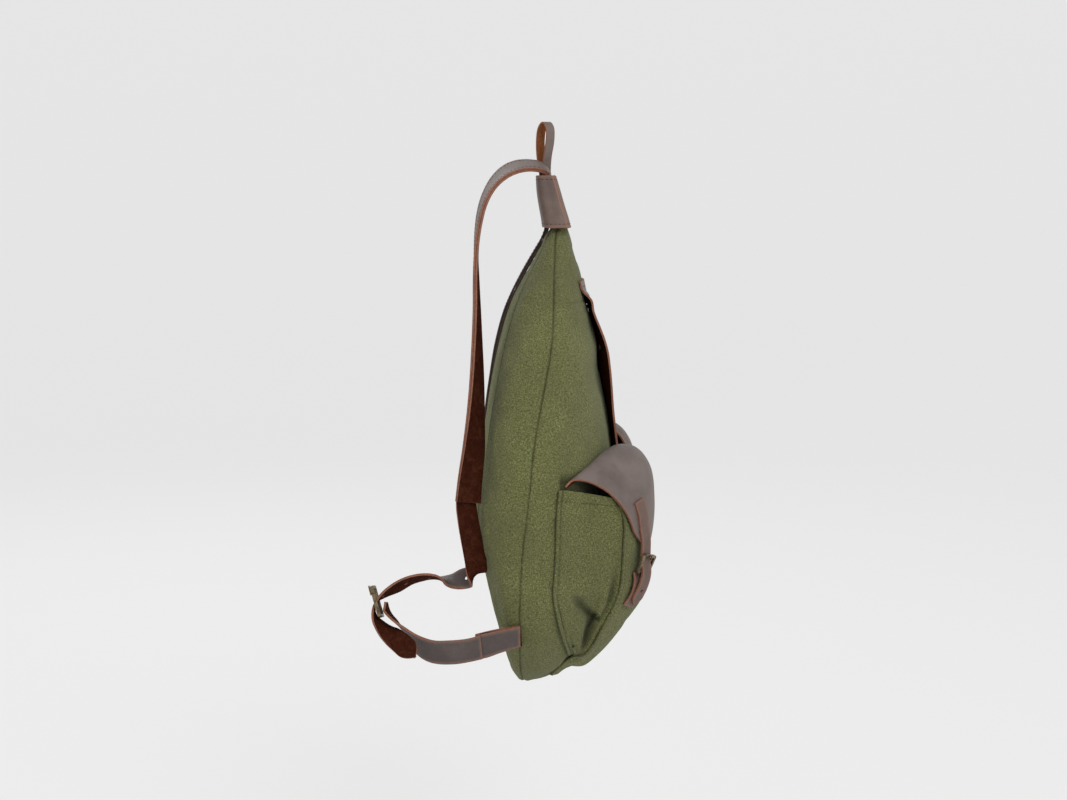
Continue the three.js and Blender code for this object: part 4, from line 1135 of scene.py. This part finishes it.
for name, strap, sign in eachPiece(straps):
    piece = {**usualStrap, **strap}
    thickness = piece["thickness"] * mm
    sheet = readSheet(name, piece, thickness, sign)
    sheet = sheet.refined(*sheet.steps(piece, strapCut["nearSides"], strapCut["nearEnds"]))
    if "point" in piece:
        pointEnd(sheet, piece["point"] * mm)
    holes = [punch(sheet, distance * mm) for distance in piece["holes"]]
    if piece["layers"] > 1:
        for side in strapCut["stitched"]:
            stitchSide("leather", sheet, side, strapCut["stitch"], *strapCut["stitchEnds"],
                       strapCut)
    buildSheet(name + "_leather", sheet, thickness, leatherWall["rim"], piece["sides"],
               [name], piece["layers"], holes)
print("straps cut")

finishPiece("wool_stitches", threadLines["wool"], [oliveThread])
finishPiece("leather_stitches", threadLines["leather"], [brownThread])
print("stitches sewn")

# metal, with its edges rounded
metalEdge = {"_buckle": 1.15 * mm, "_prong": 0.5 * mm, "_stud": 0.4 * mm}
metalCut = {"sharp": math.radians(40), "flat": math.radians(2), "rings": 3}

for name in [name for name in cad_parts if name.endswith(tuple(metalEdge))]:
    bm = bmesh.new()
    bm.from_mesh(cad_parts[name].data)
    bmesh.ops.remove_doubles(bm, verts=bm.verts, dist=weld)
    bmesh.ops.dissolve_limit(bm, angle_limit=metalCut["flat"], verts=bm.verts, edges=bm.edges)
    sharp = [e for e in bm.edges if e.calc_face_angle(0) > metalCut["sharp"]]
    roundEdges(bm, sharp, metalEdge[name[name.rindex("_"):]], metalCut["rings"])
    finishPiece(name + "_brass", bm, [antiqueBrass], [name])
print("metal made")

# studio: a pale bowl that reaches up all round, and soft lights
studio = {"floor": -0.80, "flat": 3.5, "reach": 5.5, "rise": 4.5,
          "bendSteps": 12, "roundSteps": 96, "paper": (0.30, 0.30, 0.30, 1), "paperRough": 0.95,
          "glow": 0.565, "air": (0.55, 0.55, 0.55, 1)}
softboxes = {"keyBox": {"place": (-1.9, -0.9, 1.3), "size": 1.3, "power": 28},
             "fillBox": {"place": (-1.4, 1.9, 0.4), "size": 1.6, "power": 4},
             "backBox": {"place": (1.9, 0.8, 1.4), "size": 1.6, "power": 14}}
lightTarget = (0, 0, -0.3)


def makeStudio():
    bm = bmesh.new()
    profile = [(0.0, 0.0), (studio["flat"], 0.0)]
    bend = studio["reach"] - studio["flat"]
    for step in range(1, studio["bendSteps"] + 1):
        turn = math.pi / 2 * step / studio["bendSteps"]
        profile.append((studio["flat"] + bend * math.sin(turn), bend * (1 - math.cos(turn))))
    profile.append((studio["reach"], studio["rise"]))
    verts = [bm.verts.new((x, 0, z + studio["floor"])) for x, z in profile]
    edges = [bm.edges.new(pair) for pair in zip(verts, verts[1:])]
    bmesh.ops.spin(bm, geom=verts + edges, cent=(0, 0, 0), axis=(0, 0, 1), angle=2 * math.pi,
                   steps=studio["roundSteps"], use_merge=True)
    bmesh.ops.remove_doubles(bm, verts=bm.verts, dist=weld)
    bmesh.ops.recalc_face_normals(bm, faces=bm.faces)
    bowl = linkObject("paperBowl", meshFrom("paperBowl", bm))
    material, tree, shader = newMaterial(
        "palePaper", Base_Color=studio["paper"], Roughness=studio["paperRough"],
        Specular_IOR_Level=0.0, Emission_Color=(1, 1, 1, 1), Emission_Strength=studio["glow"])
    bowl.data.materials.append(material)


def addSoftbox(name, place, size, power):
    lamp = bpy.data.lights.new(name, "AREA")
    lamp.shape = "RECTANGLE"
    lamp.size = lamp.size_y = size
    lamp.energy = power
    aim(linkObject(name, lamp), place, lightTarget)


makeStudio()
for name, box in softboxes.items():
    addSoftbox(name, **box)
world = bpy.data.worlds.new("studioAir")
world.use_nodes = True
world.node_tree.nodes["Background"].inputs["Color"].default_value = studio["air"]
bpy.context.scene.world = world
bpy.context.scene.view_settings.view_transform = "Standard"
print("studio set")
